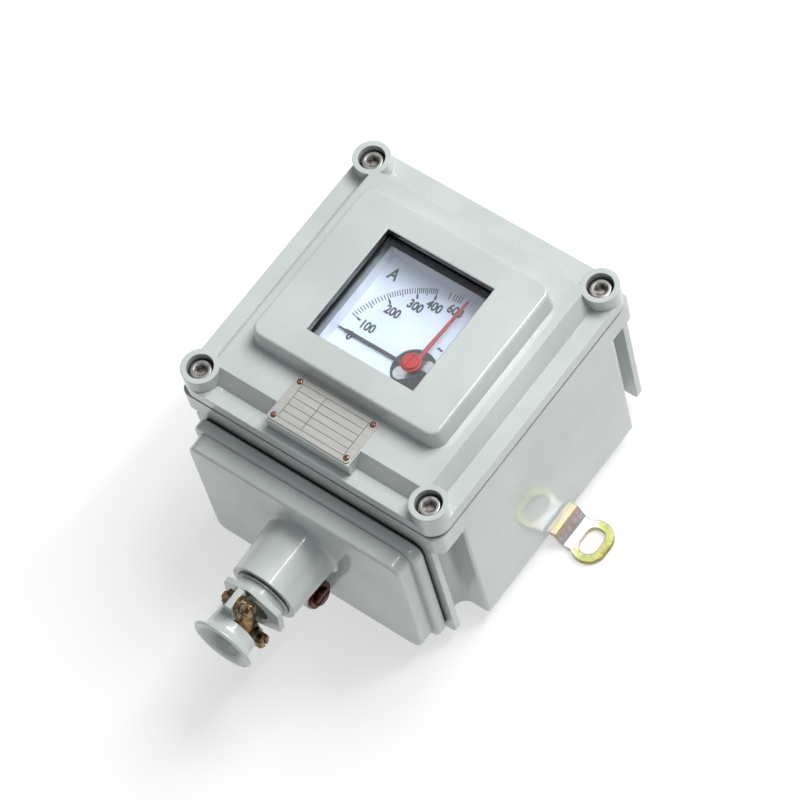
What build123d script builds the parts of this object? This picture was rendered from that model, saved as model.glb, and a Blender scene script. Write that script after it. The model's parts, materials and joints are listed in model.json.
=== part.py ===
"""Explosion-proof ammeter in a cast box, lying on its mounting lugs, millimetres.

X runs to the right of the dial, Y up the dial, Z out of the wall through the lid.
The origin is on the wall plane, midway between the two mounting lugs.
"""
from build123d import *
import math
import os

# Wall lugs, bent from strip
lug_thickness = 2.5
lug_step = 6.0
lug_width = 17.5
lug_ring_width = 21.6
lug_slot_width = 9.2
lug_slot_length = 13.8
lug_hole_x = 87.0
lug_ring_end = 8.6
lug_bend_start = 73.5
lug_bend_end = 77.5
lug_screw_x = 62.5
lug_screw_diameter = 6.0
lug_screw_head = 12.0
lug_screw_head_height = 3.6
lug_washer_thickness = 1.4

# Cast housing
housing_width = 142.5
housing_height = 111.2
housing_depth = 90.3
housing_wall = 8.0
housing_floor = 8.0
housing_edge_radius = 1.5
housing_flange_thickness = 11.7
housing_flange_radius = 5.0
mouth_width = 112.0
mouth_height = 92.0
mouth_radius = 8.0
cast_edge_radius = 0.8

# Neck and entry flange, one cast on the bottom side and a blind one on the top side
neck_width = 113.0
neck_fillet = 6.0
entry_flange_thickness = 3.25
entry_flange_width = 130.0
entry_flange_radius = 3.0
neck_bore_width = 94.0
neck_bore_height = 58.0
neck_bore_radius = 4.0
entry_web = 6.5
entry_opening_width = 72.0
entry_opening_height = 38.0

# Lid joint and lid casting
joint_gasket_thickness = 1.8
joint_gasket_inset = 1.2
lid_flange_thickness = 6.7
boss_diameter = 17.5
boss_rise = 7.7
platform_foot_width = 126.4
platform_top_width = 116.4
lid_cavity_width = 104.0
lid_cavity_radius = 10.0
lid_shell = 5.0

# Raised window frame of the lid
bezel_width = 104.0
bezel_height = 89.5
bezel_rise = 10.0
bezel_corner_radius = 7.0
bezel_draft = 9.0
bezel_edge_radius = 1.6
bezel_cavity_width = 95.0
bezel_cavity_height = 81.0
window_width = 57.6
window_height = 58.8
window_shift = 3.3
window_lip = 3.8
window_edge_chamfer = 0.4

# Window glass with its moulded channel seal and clamping frame
glass_width = 76.0
glass_height = 74.0
glass_thickness = 6.0
seal_thickness = 0.8
seal_side = 0.6
seal_opening_play = 0.5
frame_thickness = 2.5
frame_play = 1.0
frame_opening_play = 1.2
frame_screw_pitch_x = 84.0
frame_screw_pitch_y = 52.0
frame_screw_diameter = 4.0
frame_screw_head = 7.0
frame_screw_head_height = 2.6
frame_screw_length = 9.0

# Lid screws
lid_screw_diameter = 6.0
lid_screw_head = 9.8
lid_screw_head_height = 6.0
lid_screw_sunk = 2.5
lid_screw_length = 22.0
lid_counterbore = 12.4
lid_washer_thickness = 1.5
socket_across = 5.0
socket_depth = 3.6
socket_entry_depth = 0.8
thread_play = 0.05

# Nameplate on its cast pad
pad_width = 45.6
pad_front = 67.3
pad_back = 50.0
plate_width = 44.4
plate_height = 23.6
plate_thickness = 0.6
plate_centre = 54.75
plate_notch = 1.0
rivet_pitch_x = 39.8
rivet_pitch_y = 19.0
rivet_head = 2.8
rivet_head_height = 0.9
rivet_shank = 1.6
rivet_length = 4.0

# Ammeter
meter_width = 70.0
meter_corner_radius = 3.0
meter_front_gap = 0.3
cover_height = 12.8
cover_wall = 1.8
cover_top = 1.6
cover_edge_chamfer = 1.0
mask_height = 5.6
mask_play = 0.4
mask_top_width = 56.8
mask_bottom_width = 54.0
dial_width = 63.0
dial_thickness = 0.8
dial_notch_radius = 10.4
base_plate_thickness = 3.0
base_barrel_diameter = 62.0
base_barrel_depth = 30.0
base_clearance = 0.3
pivot_offset = 14.5

# Moving-iron movement behind the dial
coil_frame_diameter = 18.6
coil_frame_height = 14.0
coil_diameter = 15.0
coil_height = 9.0
bridge_width = 6.4
bridge_thickness = 1.0
spindle_diameter = 1.0
spindle_play = 0.08

# Measuring pointer
pointer_length = 41.0
pointer_bar_length = 36.6
pointer_bar_width = 1.5
pointer_tip_width = 0.5
pointer_tail = 6.0
pointer_thickness = 0.6
pointer_lift = 0.6
pointer_hub_diameter = 4.6
pointer_hub_height = 1.8

# Red index pointer and its knob
index_length = 38.5
index_width = 1.1
index_thickness = 0.6
index_rest_angle = 92.5
index_knob_diameter = 7.8
index_knob_height = 1.7
index_knob_slot = 1.0
index_shaft_diameter = 3.0
index_shaft_play = 0.08
index_drop = 2.2

# Meter fixing, terminals and bracket
bracket_play_x = 1.0
bracket_play_y = 3.0
bracket_thickness = 1.5
bracket_hole_play = 1.5
post_inset_x = 6.0
post_inset_y = 9.0
post_diameter = 10.0
bracket_screw_diameter = 4.0
bracket_screw_head = 8.0
bracket_screw_head_height = 2.6
bracket_screw_length = 12.0
stud_pitch = 60.0
stud_diameter = 3.0
stud_length = 14.0
stud_nut_across = 5.5
stud_nut_height = 2.4
post_terminal_pitch = 26.0
post_terminal_diameter = 6.0
post_terminal_length = 20.0
terminal_nut_across = 10.0
terminal_nut_height = 5.0
terminal_washer_diameter = 12.0
terminal_washer_thickness = 1.4

# Terminal block and inside earth screw on the floor
block_length = 42.0
block_depth = 16.0
block_height = 15.0
block_y = -34.0
block_way_pitch = 18.0
block_way_diameter = 6.0
block_screw_diameter = 4.0
block_screw_head = 6.4
inner_earth_x = 36.0
earth_boss_diameter = 12.0
earth_boss_height = 5.0

# Entry plate and cover stacked on the entry flange
entry_gasket_thickness = 1.0
entry_gasket_inset = 1.6
entry_plate_width = 123.2
entry_plate_bottom = 0.6
entry_plate_top = 79.6
entry_plate_thickness = 6.0
entry_plate_radius = 6.0
entry_cover_width = 116.4
entry_cover_bottom = 1.6
entry_cover_top = 77.4
entry_cover_thickness = 9.0
entry_cover_radius = 6.0
entry_edge_radius = 1.6
entry_cover_wall = 4.0
entry_screw_pitch_x = 82.0
entry_screw_pitch_z = 47.0
entry_screw_diameter = 5.0
entry_screw_head = 8.5
entry_screw_head_height = 4.5
entry_screw_reach = 5.0

# Gland boss cast on the cover
gland_axis_height = 44.3
boss_base_diameter = 35.6
boss_rim_diameter = 33.4
gland_boss_length = 28.4
gland_bore = 27.6
gland_shoulder_bore = 17.0
gland_shoulder = 5.0
boss_foot_radius = 2.0

# Gland nut with bell mouth, sealing ring and cord clamp
gland_turn = 23.0
nut_play = 0.25
nut_insert_length = 14.2
nut_neck_diameter = 24.0
nut_neck_length = 3.9
nut_flange_across = 29.4
nut_flange_radius = 1.2
nut_flange_thickness = 3.0
nut_bore = 16.5
saddle_length = 13.0
saddle_outer = 22.4
ear_thickness = 3.6
ear_width = 10.2
ear_start = 1.2
ear_end = 3.6
bell_length = 9.0
bell_neck = 23.0
bell_mouth = 30.5
bell_rim_radius = 1.4
bell_wall = 2.2
seal_ring_bore = 12.0
seal_ring_length = 9.0
gland_washer_thickness = 1.6
clamp_offset = 1.0
clamp_thickness = 1.8
clamp_width = 8.4
clamp_bulge = 2.6
clamp_bow_play = 0.4
clamp_nut_gap = 0.3
clamp_screw_diameter = 4.0
clamp_screw_head = 7.0
clamp_screw_head_height = 4.0
clamp_screw_length = 12.0
clamp_nut_across = 7.0
clamp_nut_height = 3.0
spring_washer_thickness = 1.1
clamp_washer_diameter = 9.0
clamp_washer_thickness = 0.9

# Outside earth terminal on the cover
earth_ear_x = 5.5
earth_ear_thickness = 5.0
earth_ear_radius = 7.6
earth_ear_reach = 9.0
earth_axis_height = 21.2
earth_washer_diameter = 13.6
earth_washer_thickness = 1.4
earth_screw_head = 9.0
earth_screw_head_height = 2.0
earth_screw_diameter = 6.0
earth_screw_length = 10.0
screw_slot_width = 1.2
screw_slot_depth = 1.2

# Levels worked out from the sizes above
back_z = lug_thickness + lug_step
flange_under_z = back_z + housing_depth - housing_flange_thickness
joint_z = back_z + housing_depth
lid_base_z = joint_z + joint_gasket_thickness
lid_flange_z = lid_base_z + lid_flange_thickness
platform_z = lid_flange_z + boss_rise
bezel_z = platform_z + bezel_rise
lip_under_z = bezel_z - window_lip
glass_top_z = lip_under_z - seal_thickness
glass_under_z = glass_top_z - glass_thickness
frame_seat_z = glass_under_z - seal_thickness
frame_under_z = frame_seat_z - frame_thickness
cover_top_z = frame_under_z - meter_front_gap
cover_base_z = cover_top_z - cover_height
mask_top_z = cover_top_z - cover_top
dial_top_z = mask_top_z - mask_height
bracket_top_z = cover_base_z - base_plate_thickness
bracket_under_z = bracket_top_z - bracket_thickness
barrel_under_z = bracket_top_z - base_barrel_depth
floor_z = back_z + housing_floor
lid_corner_radius = boss_diameter / 2
boss_pitch = housing_width - boss_diameter
post_pitch_x = mouth_width - 2 * post_inset_x
post_pitch_y = mouth_height - 2 * post_inset_y
pivot_x = pivot_offset
pivot_y = window_shift - pivot_offset
entry_face = housing_width / 2
neck_reach = entry_face - entry_flange_thickness
neck_root_radius = min(neck_fillet, 0.9 * (neck_reach - housing_height / 2))
gland_z = back_z + gland_axis_height
clamp_screw_pitch = saddle_outer + clamp_nut_across + 2 * clamp_nut_gap
ear_reach = clamp_screw_pitch / 2 + ear_end


def xz_plane(y, z=0.0):
    """Plane facing -Y, with its own x along X and its own y along Z."""
    return Plane(origin=(0, y, z), x_dir=(1, 0, 0), z_dir=(0, -1, 0))


def pan_screw(head, head_height, shank, length):
    """Slotted pan head screw, head up, with the underside of its head at the origin."""
    with BuildPart() as screw:
        with BuildSketch():
            Circle(head / 2)
        extrude(amount=head_height)
        fillet(screw.edges().group_by(Axis.Z)[-1], head_height * 0.35)
        with BuildSketch(Plane.XY.offset(head_height)):
            Rectangle(head * 1.1, screw_slot_width)
        extrude(amount=-screw_slot_depth, mode=Mode.SUBTRACT)
        with BuildSketch():
            Circle(shank / 2)
        extrude(amount=-length)
    return screw.part


def socket_screw(head, head_height, shank, length, across, depth):
    """Cap screw with a six-sided socket, head up, underside of its head at the origin."""
    with BuildPart() as screw:
        with BuildSketch():
            Circle(head / 2)
        extrude(amount=head_height)
        fillet(screw.edges().group_by(Axis.Z)[-1], head * 0.06)
        with BuildSketch(Plane.XY.offset(head_height)):
            RegularPolygon(across / 2, 6, major_radius=False)
        extrude(amount=-depth, mode=Mode.SUBTRACT)
        # Sloping entry of the socket
        with Locations((0, 0, head_height)):
            Cone(across * 0.48, across * 0.67, socket_entry_depth,
                 align=(Align.CENTER, Align.CENTER, Align.MAX), mode=Mode.SUBTRACT)
        with BuildSketch():
            Circle(shank / 2)
        extrude(amount=-length)
    return screw.part


def hex_nut(across, height, bore):
    """Hexagon nut standing on the origin."""
    with BuildPart() as nut:
        with BuildSketch():
            RegularPolygon(across / 2, 6, major_radius=False)
            Circle(bore / 2, mode=Mode.SUBTRACT)
        extrude(amount=height)
    return nut.part


def flat_washer(outer, bore, thickness):
    """Flat washer standing on the origin."""
    with BuildPart() as washer:
        with BuildSketch():
            Circle(outer / 2)
            Circle(bore / 2, mode=Mode.SUBTRACT)
        extrude(amount=thickness)
    return washer.part


def spring_washer(outer, bore, thickness):
    """Split spring washer standing on the origin, its slit cut on the slant."""
    with BuildPart() as washer:
        with BuildSketch():
            Circle(outer / 2)
            Circle(bore / 2, mode=Mode.SUBTRACT)
        extrude(amount=thickness)
        slit = Plane(origin=(outer / 2, 0, thickness / 2)).rotated((30, 0, 0))
        with BuildSketch(slit):
            Rectangle(outer, thickness * 0.5)
        extrude(amount=thickness * 2, both=True, mode=Mode.SUBTRACT)
    return washer.part


# Housing casting
with BuildPart() as housing:
    with BuildSketch(Plane.XY.offset(back_z)) as footprint:
        RectangleRounded(housing_width, housing_height, housing_edge_radius)
        Rectangle(neck_width, 2 * neck_reach)
        inner_corners = footprint.vertices().filter_by(
            lambda v: abs(abs(v.X) - neck_width / 2) < 0.01
            and abs(abs(v.Y) - housing_height / 2) < 0.01
        )
        fillet(inner_corners, neck_root_radius)
    extrude(amount=flange_under_z - back_z)
    with BuildSketch(Plane.XY.offset(flange_under_z)):
        RectangleRounded(housing_width, housing_width, housing_flange_radius)
    extrude(amount=housing_flange_thickness)
    # Entry flange below and its blind twin above
    for face, into in ((-entry_face, -1), (neck_reach, -1)):
        with BuildSketch(xz_plane(face, back_z)) as flange_plate:
            with Locations((0, (flange_under_z - back_z) / 2)):
                Rectangle(entry_flange_width, flange_under_z - back_z)
            fillet(flange_plate.vertices().group_by(Axis.Z)[0], entry_flange_radius)
        extrude(amount=into * entry_flange_thickness)
    # Mouth at the joint, and the wider room below it
    with BuildSketch(Plane.XY.offset(joint_z)):
        RectangleRounded(mouth_width, mouth_height, mouth_radius)
    extrude(amount=-housing_flange_thickness, mode=Mode.SUBTRACT)
    room_width = housing_width - 2 * housing_wall
    room_height = housing_height - 2 * housing_wall
    with BuildSketch(Plane.XY.offset(floor_z)):
        RectangleRounded(room_width, room_height, mouth_radius)
    extrude(amount=flange_under_z - floor_z, mode=Mode.SUBTRACT)
    # Way through the neck for the wires
    with BuildSketch(xz_plane(0, gland_z)):
        RectangleRounded(neck_bore_width, neck_bore_height, neck_bore_radius)
    extrude(amount=entry_face - entry_web, mode=Mode.SUBTRACT)
    with BuildSketch(xz_plane(0, gland_z)):
        RectangleRounded(entry_opening_width, entry_opening_height, mouth_radius)
    extrude(amount=entry_face, mode=Mode.SUBTRACT)
    with BuildSketch(xz_plane(0, gland_z)):
        with GridLocations(entry_screw_pitch_x, entry_screw_pitch_z, 2, 2):
            Circle(entry_screw_diameter / 2 + thread_play)
    extrude(amount=entry_face, mode=Mode.SUBTRACT)
    # Posts for the meter bracket and a boss for the inside earth screw
    with BuildSketch(Plane.XY.offset(floor_z)):
        with GridLocations(post_pitch_x, post_pitch_y, 2, 2):
            Circle(post_diameter / 2)
    extrude(amount=bracket_under_z - floor_z)
    with BuildSketch(Plane.XY.offset(floor_z)):
        with Locations((inner_earth_x, block_y)):
            Circle(earth_boss_diameter / 2)
    extrude(amount=earth_boss_height)
    # Screw holes
    with BuildSketch(Plane.XY.offset(bracket_under_z)):
        with GridLocations(post_pitch_x, post_pitch_y, 2, 2):
            Circle(bracket_screw_diameter / 2 + thread_play)
    extrude(amount=-bracket_screw_length, mode=Mode.SUBTRACT)
    with BuildSketch(Plane.XY.offset(floor_z + earth_boss_height)):
        with Locations((inner_earth_x, block_y)):
            Circle(block_screw_diameter / 2 + thread_play)
    extrude(amount=-earth_boss_height, mode=Mode.SUBTRACT)
    with BuildSketch(Plane.XY.offset(floor_z)):
        with Locations((0, block_y)):
            with GridLocations(block_way_pitch, 0, 2, 1):
                Circle(block_screw_diameter / 2 + thread_play)
    extrude(amount=-block_screw_diameter, mode=Mode.SUBTRACT)
    with BuildSketch(Plane.XY.offset(joint_z)):
        with GridLocations(boss_pitch, boss_pitch, 2, 2):
            Circle(lid_screw_diameter / 2 + thread_play)
    extrude(amount=-housing_flange_thickness, mode=Mode.SUBTRACT)
    with BuildSketch(Plane.XY.offset(back_z)):
        with Locations((lug_screw_x, 0), (-lug_screw_x, 0)):
            Circle(lug_screw_diameter / 2 + thread_play)
    extrude(amount=housing_floor * 0.8, mode=Mode.SUBTRACT)
housing.part.label = "housing"

# Lid casting
with BuildPart() as lid:
    with BuildSketch(Plane.XY.offset(lid_base_z)):
        RectangleRounded(housing_width, housing_width, lid_corner_radius)
    extrude(amount=lid_flange_thickness)
    slope = math.degrees(math.atan((platform_foot_width - platform_top_width) / 2 / boss_rise))
    with BuildSketch(Plane.XY.offset(lid_flange_z)):
        Rectangle(platform_foot_width, platform_foot_width)
    extrude(amount=boss_rise, taper=slope)
    # Corner bosses for the screws
    with BuildSketch(Plane.XY.offset(lid_base_z)):
        with GridLocations(boss_pitch, boss_pitch, 2, 2):
            Circle(boss_diameter / 2)
    extrude(amount=platform_z - lid_base_z)
    # Raised frame round the window
    with BuildSketch(Plane.XY.offset(platform_z)):
        with Locations((0, window_shift)):
            RectangleRounded(bezel_width, bezel_height, bezel_corner_radius)
    extrude(amount=bezel_rise, taper=bezel_draft)
    fillet(lid.edges().group_by(Axis.Z)[-1], bezel_edge_radius)
    # Pad that carries the nameplate level across the slope
    with BuildSketch(Plane.XY.offset(lid_flange_z)):
        with Locations((0, -(pad_front + pad_back) / 2)):
            Rectangle(pad_width, pad_front - pad_back)
    extrude(amount=boss_rise)
    # Room inside the lid, in three steps up to the window lip
    with BuildSketch(Plane.XY.offset(lid_base_z)):
        RectangleRounded(lid_cavity_width, lid_cavity_width, lid_cavity_radius)
    extrude(amount=platform_z - lid_shell - lid_base_z, mode=Mode.SUBTRACT)
    with BuildSketch(Plane.XY.offset(lid_base_z)):
        with Locations((0, window_shift)):
            RectangleRounded(bezel_cavity_width, bezel_cavity_height, bezel_corner_radius)
    extrude(amount=frame_seat_z - lid_base_z, mode=Mode.SUBTRACT)
    with BuildSketch(Plane.XY.offset(lid_base_z)):
        with Locations((0, window_shift)):
            Rectangle(glass_width + 2 * seal_side, glass_height + 2 * seal_side)
    extrude(amount=lip_under_z - lid_base_z, mode=Mode.SUBTRACT)
    with BuildSketch(Plane.XY.offset(lid_base_z)):
        with Locations((0, window_shift)):
            Rectangle(window_width, window_height)
    extrude(amount=bezel_z - lid_base_z, mode=Mode.SUBTRACT)
    window_rim = lid.edges().group_by(Axis.Z)[-1].filter_by(
        lambda e: abs(e.center().X) < window_width / 2 + 0.01
        and abs(e.center().Y - window_shift) < window_height / 2 + 0.01
    )
    chamfer(window_rim, window_edge_chamfer)
    # Screw holes with counterbores
    with Locations(Plane.XY.offset(platform_z)):
        with GridLocations(boss_pitch, boss_pitch, 2, 2):
            CounterBoreHole(
                lid_screw_diameter / 2 + thread_play,
                lid_counterbore / 2,
                lid_screw_sunk + lid_screw_head_height + lid_washer_thickness,
            )
    with BuildSketch(Plane.XY.offset(frame_seat_z)):
        with Locations((0, window_shift)):
            with GridLocations(frame_screw_pitch_x, frame_screw_pitch_y, 2, 2):
                Circle(frame_screw_diameter / 2 + thread_play)
    extrude(amount=frame_screw_length - frame_thickness, mode=Mode.SUBTRACT)
    with BuildSketch(Plane.XY.offset(platform_z)):
        with Locations((0, -plate_centre)):
            with GridLocations(rivet_pitch_x, rivet_pitch_y, 2, 2):
                Circle(rivet_shank / 2)
    extrude(amount=plate_thickness - rivet_length, mode=Mode.SUBTRACT)
lid.part.label = "lid"

# Seal between housing and lid
with BuildPart() as lid_gasket:
    inset_width = housing_width - 2 * joint_gasket_inset
    with BuildSketch(Plane.XY.offset(joint_z)):
        RectangleRounded(inset_width, inset_width, lid_corner_radius - joint_gasket_inset)
        RectangleRounded(mouth_width, mouth_height, mouth_radius, mode=Mode.SUBTRACT)
        with GridLocations(boss_pitch, boss_pitch, 2, 2):
            Circle(lid_screw_diameter / 2 + thread_play, mode=Mode.SUBTRACT)
    extrude(amount=joint_gasket_thickness)
lid_gasket.part.label = "lid_gasket"

# Lid screws and their spring washers
lid_screw = socket_screw(lid_screw_head, lid_screw_head_height, lid_screw_diameter,
                         lid_screw_length - lid_washer_thickness, socket_across, socket_depth)
screw_seat_z = platform_z - lid_screw_sunk - lid_screw_head_height
with BuildPart() as lid_screws:
    with Locations((0, 0, screw_seat_z)):
        with GridLocations(boss_pitch, boss_pitch, 2, 2):
            add(lid_screw)
lid_screws.part.label = "lid_screws"

lid_washer = spring_washer(lid_screw_head, lid_screw_diameter + 0.2, lid_washer_thickness)
with BuildPart() as lid_screw_washers:
    with Locations((0, 0, screw_seat_z - lid_washer_thickness)):
        with GridLocations(boss_pitch, boss_pitch, 2, 2):
            add(lid_washer)
lid_screw_washers.part.label = "lid_screw_washers"

# Window glass, its channel seal and the frame that holds them up
with BuildPart() as window_glass:
    with BuildSketch(Plane.XY.offset(glass_under_z)):
        with Locations((0, window_shift)):
            Rectangle(glass_width, glass_height)
    extrude(amount=glass_thickness)
window_glass.part.label = "window_glass"

with BuildPart() as glass_seal:
    with BuildSketch(Plane.XY.offset(frame_seat_z)):
        with Locations((0, window_shift)):
            Rectangle(glass_width + 2 * seal_side, glass_height + 2 * seal_side)
            Rectangle(window_width + 2 * seal_opening_play,
                      window_height + 2 * seal_opening_play, mode=Mode.SUBTRACT)
    extrude(amount=lip_under_z - frame_seat_z)
    with BuildSketch(Plane.XY.offset(glass_under_z)):
        with Locations((0, window_shift)):
            Rectangle(glass_width, glass_height)
    extrude(amount=glass_thickness, mode=Mode.SUBTRACT)
glass_seal.part.label = "glass_seal"

with BuildPart() as glass_frame:
    with BuildSketch(Plane.XY.offset(frame_under_z)):
        with Locations((0, window_shift)):
            RectangleRounded(bezel_cavity_width - 2 * frame_play,
                             bezel_cavity_height - 2 * frame_play,
                             bezel_corner_radius - frame_play)
            Rectangle(window_width + 2 * frame_opening_play,
                      window_height + 2 * frame_opening_play, mode=Mode.SUBTRACT)
            with GridLocations(frame_screw_pitch_x, frame_screw_pitch_y, 2, 2):
                Circle(frame_screw_diameter / 2 + thread_play, mode=Mode.SUBTRACT)
    extrude(amount=frame_thickness)
glass_frame.part.label = "glass_frame"

frame_screw = pan_screw(frame_screw_head, frame_screw_head_height, frame_screw_diameter,
                        frame_screw_length)
with BuildPart() as glass_frame_screws:
    with Locations(Location((0, window_shift, frame_under_z), (180, 0, 0))):
        with GridLocations(frame_screw_pitch_x, frame_screw_pitch_y, 2, 2):
            add(frame_screw)
glass_frame_screws.part.label = "glass_frame_screws"

# Nameplate and rivets
with BuildPart() as nameplate:
    with BuildSketch(Plane.XY.offset(platform_z)) as plate_outline:
        with Locations((0, -plate_centre)):
            Rectangle(plate_width, plate_height)
        chamfer(plate_outline.vertices(), plate_notch)
        with Locations((0, -plate_centre)):
            with GridLocations(rivet_pitch_x, rivet_pitch_y, 2, 2):
                Circle(rivet_shank / 2, mode=Mode.SUBTRACT)
    extrude(amount=plate_thickness)
nameplate.part.label = "nameplate"

with BuildPart() as rivet:
    with BuildSketch():
        Circle(rivet_head / 2)
    extrude(amount=rivet_head_height)
    fillet(rivet.edges().group_by(Axis.Z)[-1], rivet_head_height * 0.8)
    with BuildSketch():
        Circle(rivet_shank / 2)
    extrude(amount=-rivet_length)
with BuildPart() as nameplate_rivets:
    with Locations((0, -plate_centre, platform_z + plate_thickness)):
        with GridLocations(rivet_pitch_x, rivet_pitch_y, 2, 2):
            add(rivet.part)
nameplate_rivets.part.label = "nameplate_rivets"

# Ammeter: clear front cover
with BuildPart() as meter_cover:
    with BuildSketch(Plane.XY.offset(cover_base_z)):
        with Locations((0, window_shift)):
            RectangleRounded(meter_width, meter_width, meter_corner_radius)
    extrude(amount=cover_height)
    chamfer(meter_cover.edges().group_by(Axis.Z)[-1], cover_edge_chamfer)
    with BuildSketch(Plane.XY.offset(cover_base_z)):
        with Locations((0, window_shift)):
            Rectangle(meter_width - 2 * cover_wall, meter_width - 2 * cover_wall)
    extrude(amount=cover_height - cover_top, mode=Mode.SUBTRACT)
    with BuildSketch(Plane.XY.offset(cover_top_z)):
        with Locations((pivot_x, pivot_y)):
            Circle(index_shaft_diameter / 2 + index_shaft_play)
    extrude(amount=-cover_top, mode=Mode.SUBTRACT)
meter_cover.part.label = "meter_cover"

# White sloping surround between cover and dial
mask_outer = meter_width - 2 * cover_wall - 2 * mask_play
with BuildPart() as dial_surround:
    with BuildSketch(Plane.XY.offset(dial_top_z)):
        with Locations((0, window_shift)):
            Rectangle(mask_outer, mask_outer)
    extrude(amount=mask_height)
    with BuildSketch(Plane.XY.offset(dial_top_z)):
        with Locations((0, window_shift)):
            Rectangle(mask_bottom_width, mask_bottom_width)
    with BuildSketch(Plane.XY.offset(mask_top_z)):
        with Locations((0, window_shift)):
            Rectangle(mask_top_width, mask_top_width)
    loft(mode=Mode.SUBTRACT)
dial_surround.part.label = "dial_surround"

with BuildPart() as dial_plate:
    with BuildSketch(Plane.XY.offset(dial_top_z - dial_thickness)):
        with Locations((0, window_shift)):
            Rectangle(dial_width, dial_width)
        with Locations((pivot_x, pivot_y)):
            Circle(dial_notch_radius, mode=Mode.SUBTRACT)
    extrude(amount=dial_thickness)
dial_plate.part.label = "dial_plate"

# Moulded base with its barrel and the shelf that carries the dial
with BuildPart() as meter_base:
    with BuildSketch(Plane.XY.offset(bracket_top_z)):
        with Locations((0, window_shift)):
            RectangleRounded(meter_width, meter_width, meter_corner_radius)
    extrude(amount=base_plate_thickness)
    shelf_width = meter_width - 2 * cover_wall - 2 * base_clearance
    with BuildSketch(Plane.XY.offset(cover_base_z)):
        with Locations((0, window_shift)):
            Rectangle(shelf_width, shelf_width)
    extrude(amount=dial_top_z - dial_thickness - cover_base_z)
    with BuildSketch(Plane.XY.offset(bracket_top_z)):
        with Locations((0, window_shift)):
            Circle(base_barrel_diameter / 2)
    extrude(amount=-base_barrel_depth)
    fillet(meter_base.edges().group_by(Axis.Z)[0], cast_edge_radius)
    with BuildSketch(Plane.XY.offset(dial_top_z - dial_thickness)):
        with Locations((pivot_x, pivot_y)):
            Circle(coil_frame_diameter / 2 + base_clearance)
    extrude(amount=-coil_frame_height, mode=Mode.SUBTRACT)
    with BuildSketch(Plane.XY.offset(barrel_under_z)):
        with Locations((0, window_shift)):
            with GridLocations(post_terminal_pitch, 0, 2, 1):
                Circle(post_terminal_diameter / 2)
    extrude(amount=post_terminal_diameter, mode=Mode.SUBTRACT)
    with BuildSketch(Plane.XY.offset(bracket_top_z)):
        with Locations((0, window_shift)):
            with GridLocations(stud_pitch, stud_pitch, 2, 2):
                Circle(stud_diameter / 2)
    extrude(amount=base_plate_thickness, mode=Mode.SUBTRACT)
meter_base.part.label = "meter_base"

# Movement: black coil frame, copper coil, bridge across the top
frame_top_z = dial_top_z - dial_thickness
frame_floor_z = frame_top_z - coil_frame_height
with BuildPart() as coil_frame:
    with BuildSketch(Plane.XY.offset(frame_floor_z)):
        with Locations((pivot_x, pivot_y)):
            Circle(coil_frame_diameter / 2)
    extrude(amount=coil_frame_height)
    with BuildSketch(Plane.XY.offset(frame_top_z - 1.2)):
        with Locations((pivot_x, pivot_y)):
            Circle(coil_diameter / 2 + spindle_play)
    extrude(amount=-coil_height, mode=Mode.SUBTRACT)
    with BuildSketch(Plane.XY.offset(frame_top_z)):
        with Locations((pivot_x, pivot_y)):
            Circle(spindle_diameter / 2 + spindle_play)
    extrude(amount=-coil_frame_height, mode=Mode.SUBTRACT)
coil_frame.part.label = "coil_frame"

with BuildPart() as coil:
    with BuildSketch(Plane.XY.offset(frame_top_z - 1.2 - coil_height)):
        with Locations((pivot_x, pivot_y)):
            Circle(coil_diameter / 2)
            Circle(coil_diameter / 4, mode=Mode.SUBTRACT)
    extrude(amount=coil_height)
coil.part.label = "coil"

with BuildPart() as movement_bridge:
    bridge_plane = Plane(origin=(pivot_x, pivot_y, frame_top_z),
                         x_dir=(math.cos(math.radians(45)), math.sin(math.radians(45)), 0))
    with BuildSketch(bridge_plane):
        SlotOverall(coil_frame_diameter, bridge_width)
        Circle(spindle_diameter / 2 + spindle_play, mode=Mode.SUBTRACT)
    extrude(amount=bridge_thickness)
movement_bridge.part.label = "movement_bridge"

# Measuring pointer on its spindle, at zero, pointing to -X
pointer_z = dial_top_z + pointer_lift
with BuildPart() as pointer:
    with BuildSketch(Plane.XY.offset(pointer_z)):
        with BuildLine():
            Polyline(
                (pivot_x + pointer_tail, pivot_y - pointer_bar_width),
                (pivot_x + pointer_tail, pivot_y + pointer_bar_width),
                (pivot_x, pivot_y + pointer_bar_width / 2),
                (pivot_x - pointer_bar_length, pivot_y + pointer_bar_width / 2),
                (pivot_x - pointer_bar_length - 1, pivot_y + pointer_tip_width / 2),
                (pivot_x - pointer_length, pivot_y + pointer_tip_width / 2),
                (pivot_x - pointer_length, pivot_y - pointer_tip_width / 2),
                (pivot_x - pointer_bar_length - 1, pivot_y - pointer_tip_width / 2),
                (pivot_x - pointer_bar_length, pivot_y - pointer_bar_width / 2),
                (pivot_x, pivot_y - pointer_bar_width / 2),
                close=True,
            )
        make_face()
    extrude(amount=pointer_thickness)
    with BuildSketch(Plane.XY.offset(pointer_z)):
        with Locations((pivot_x, pivot_y)):
            Circle(pointer_hub_diameter / 2)
    extrude(amount=pointer_hub_height)
    with BuildSketch(Plane.XY.offset(pointer_z)):
        with Locations((pivot_x, pivot_y)):
            Circle(spindle_diameter / 2)
    extrude(amount=frame_floor_z + 1 - pointer_z)
pointer.part.label = "pointer"

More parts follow.
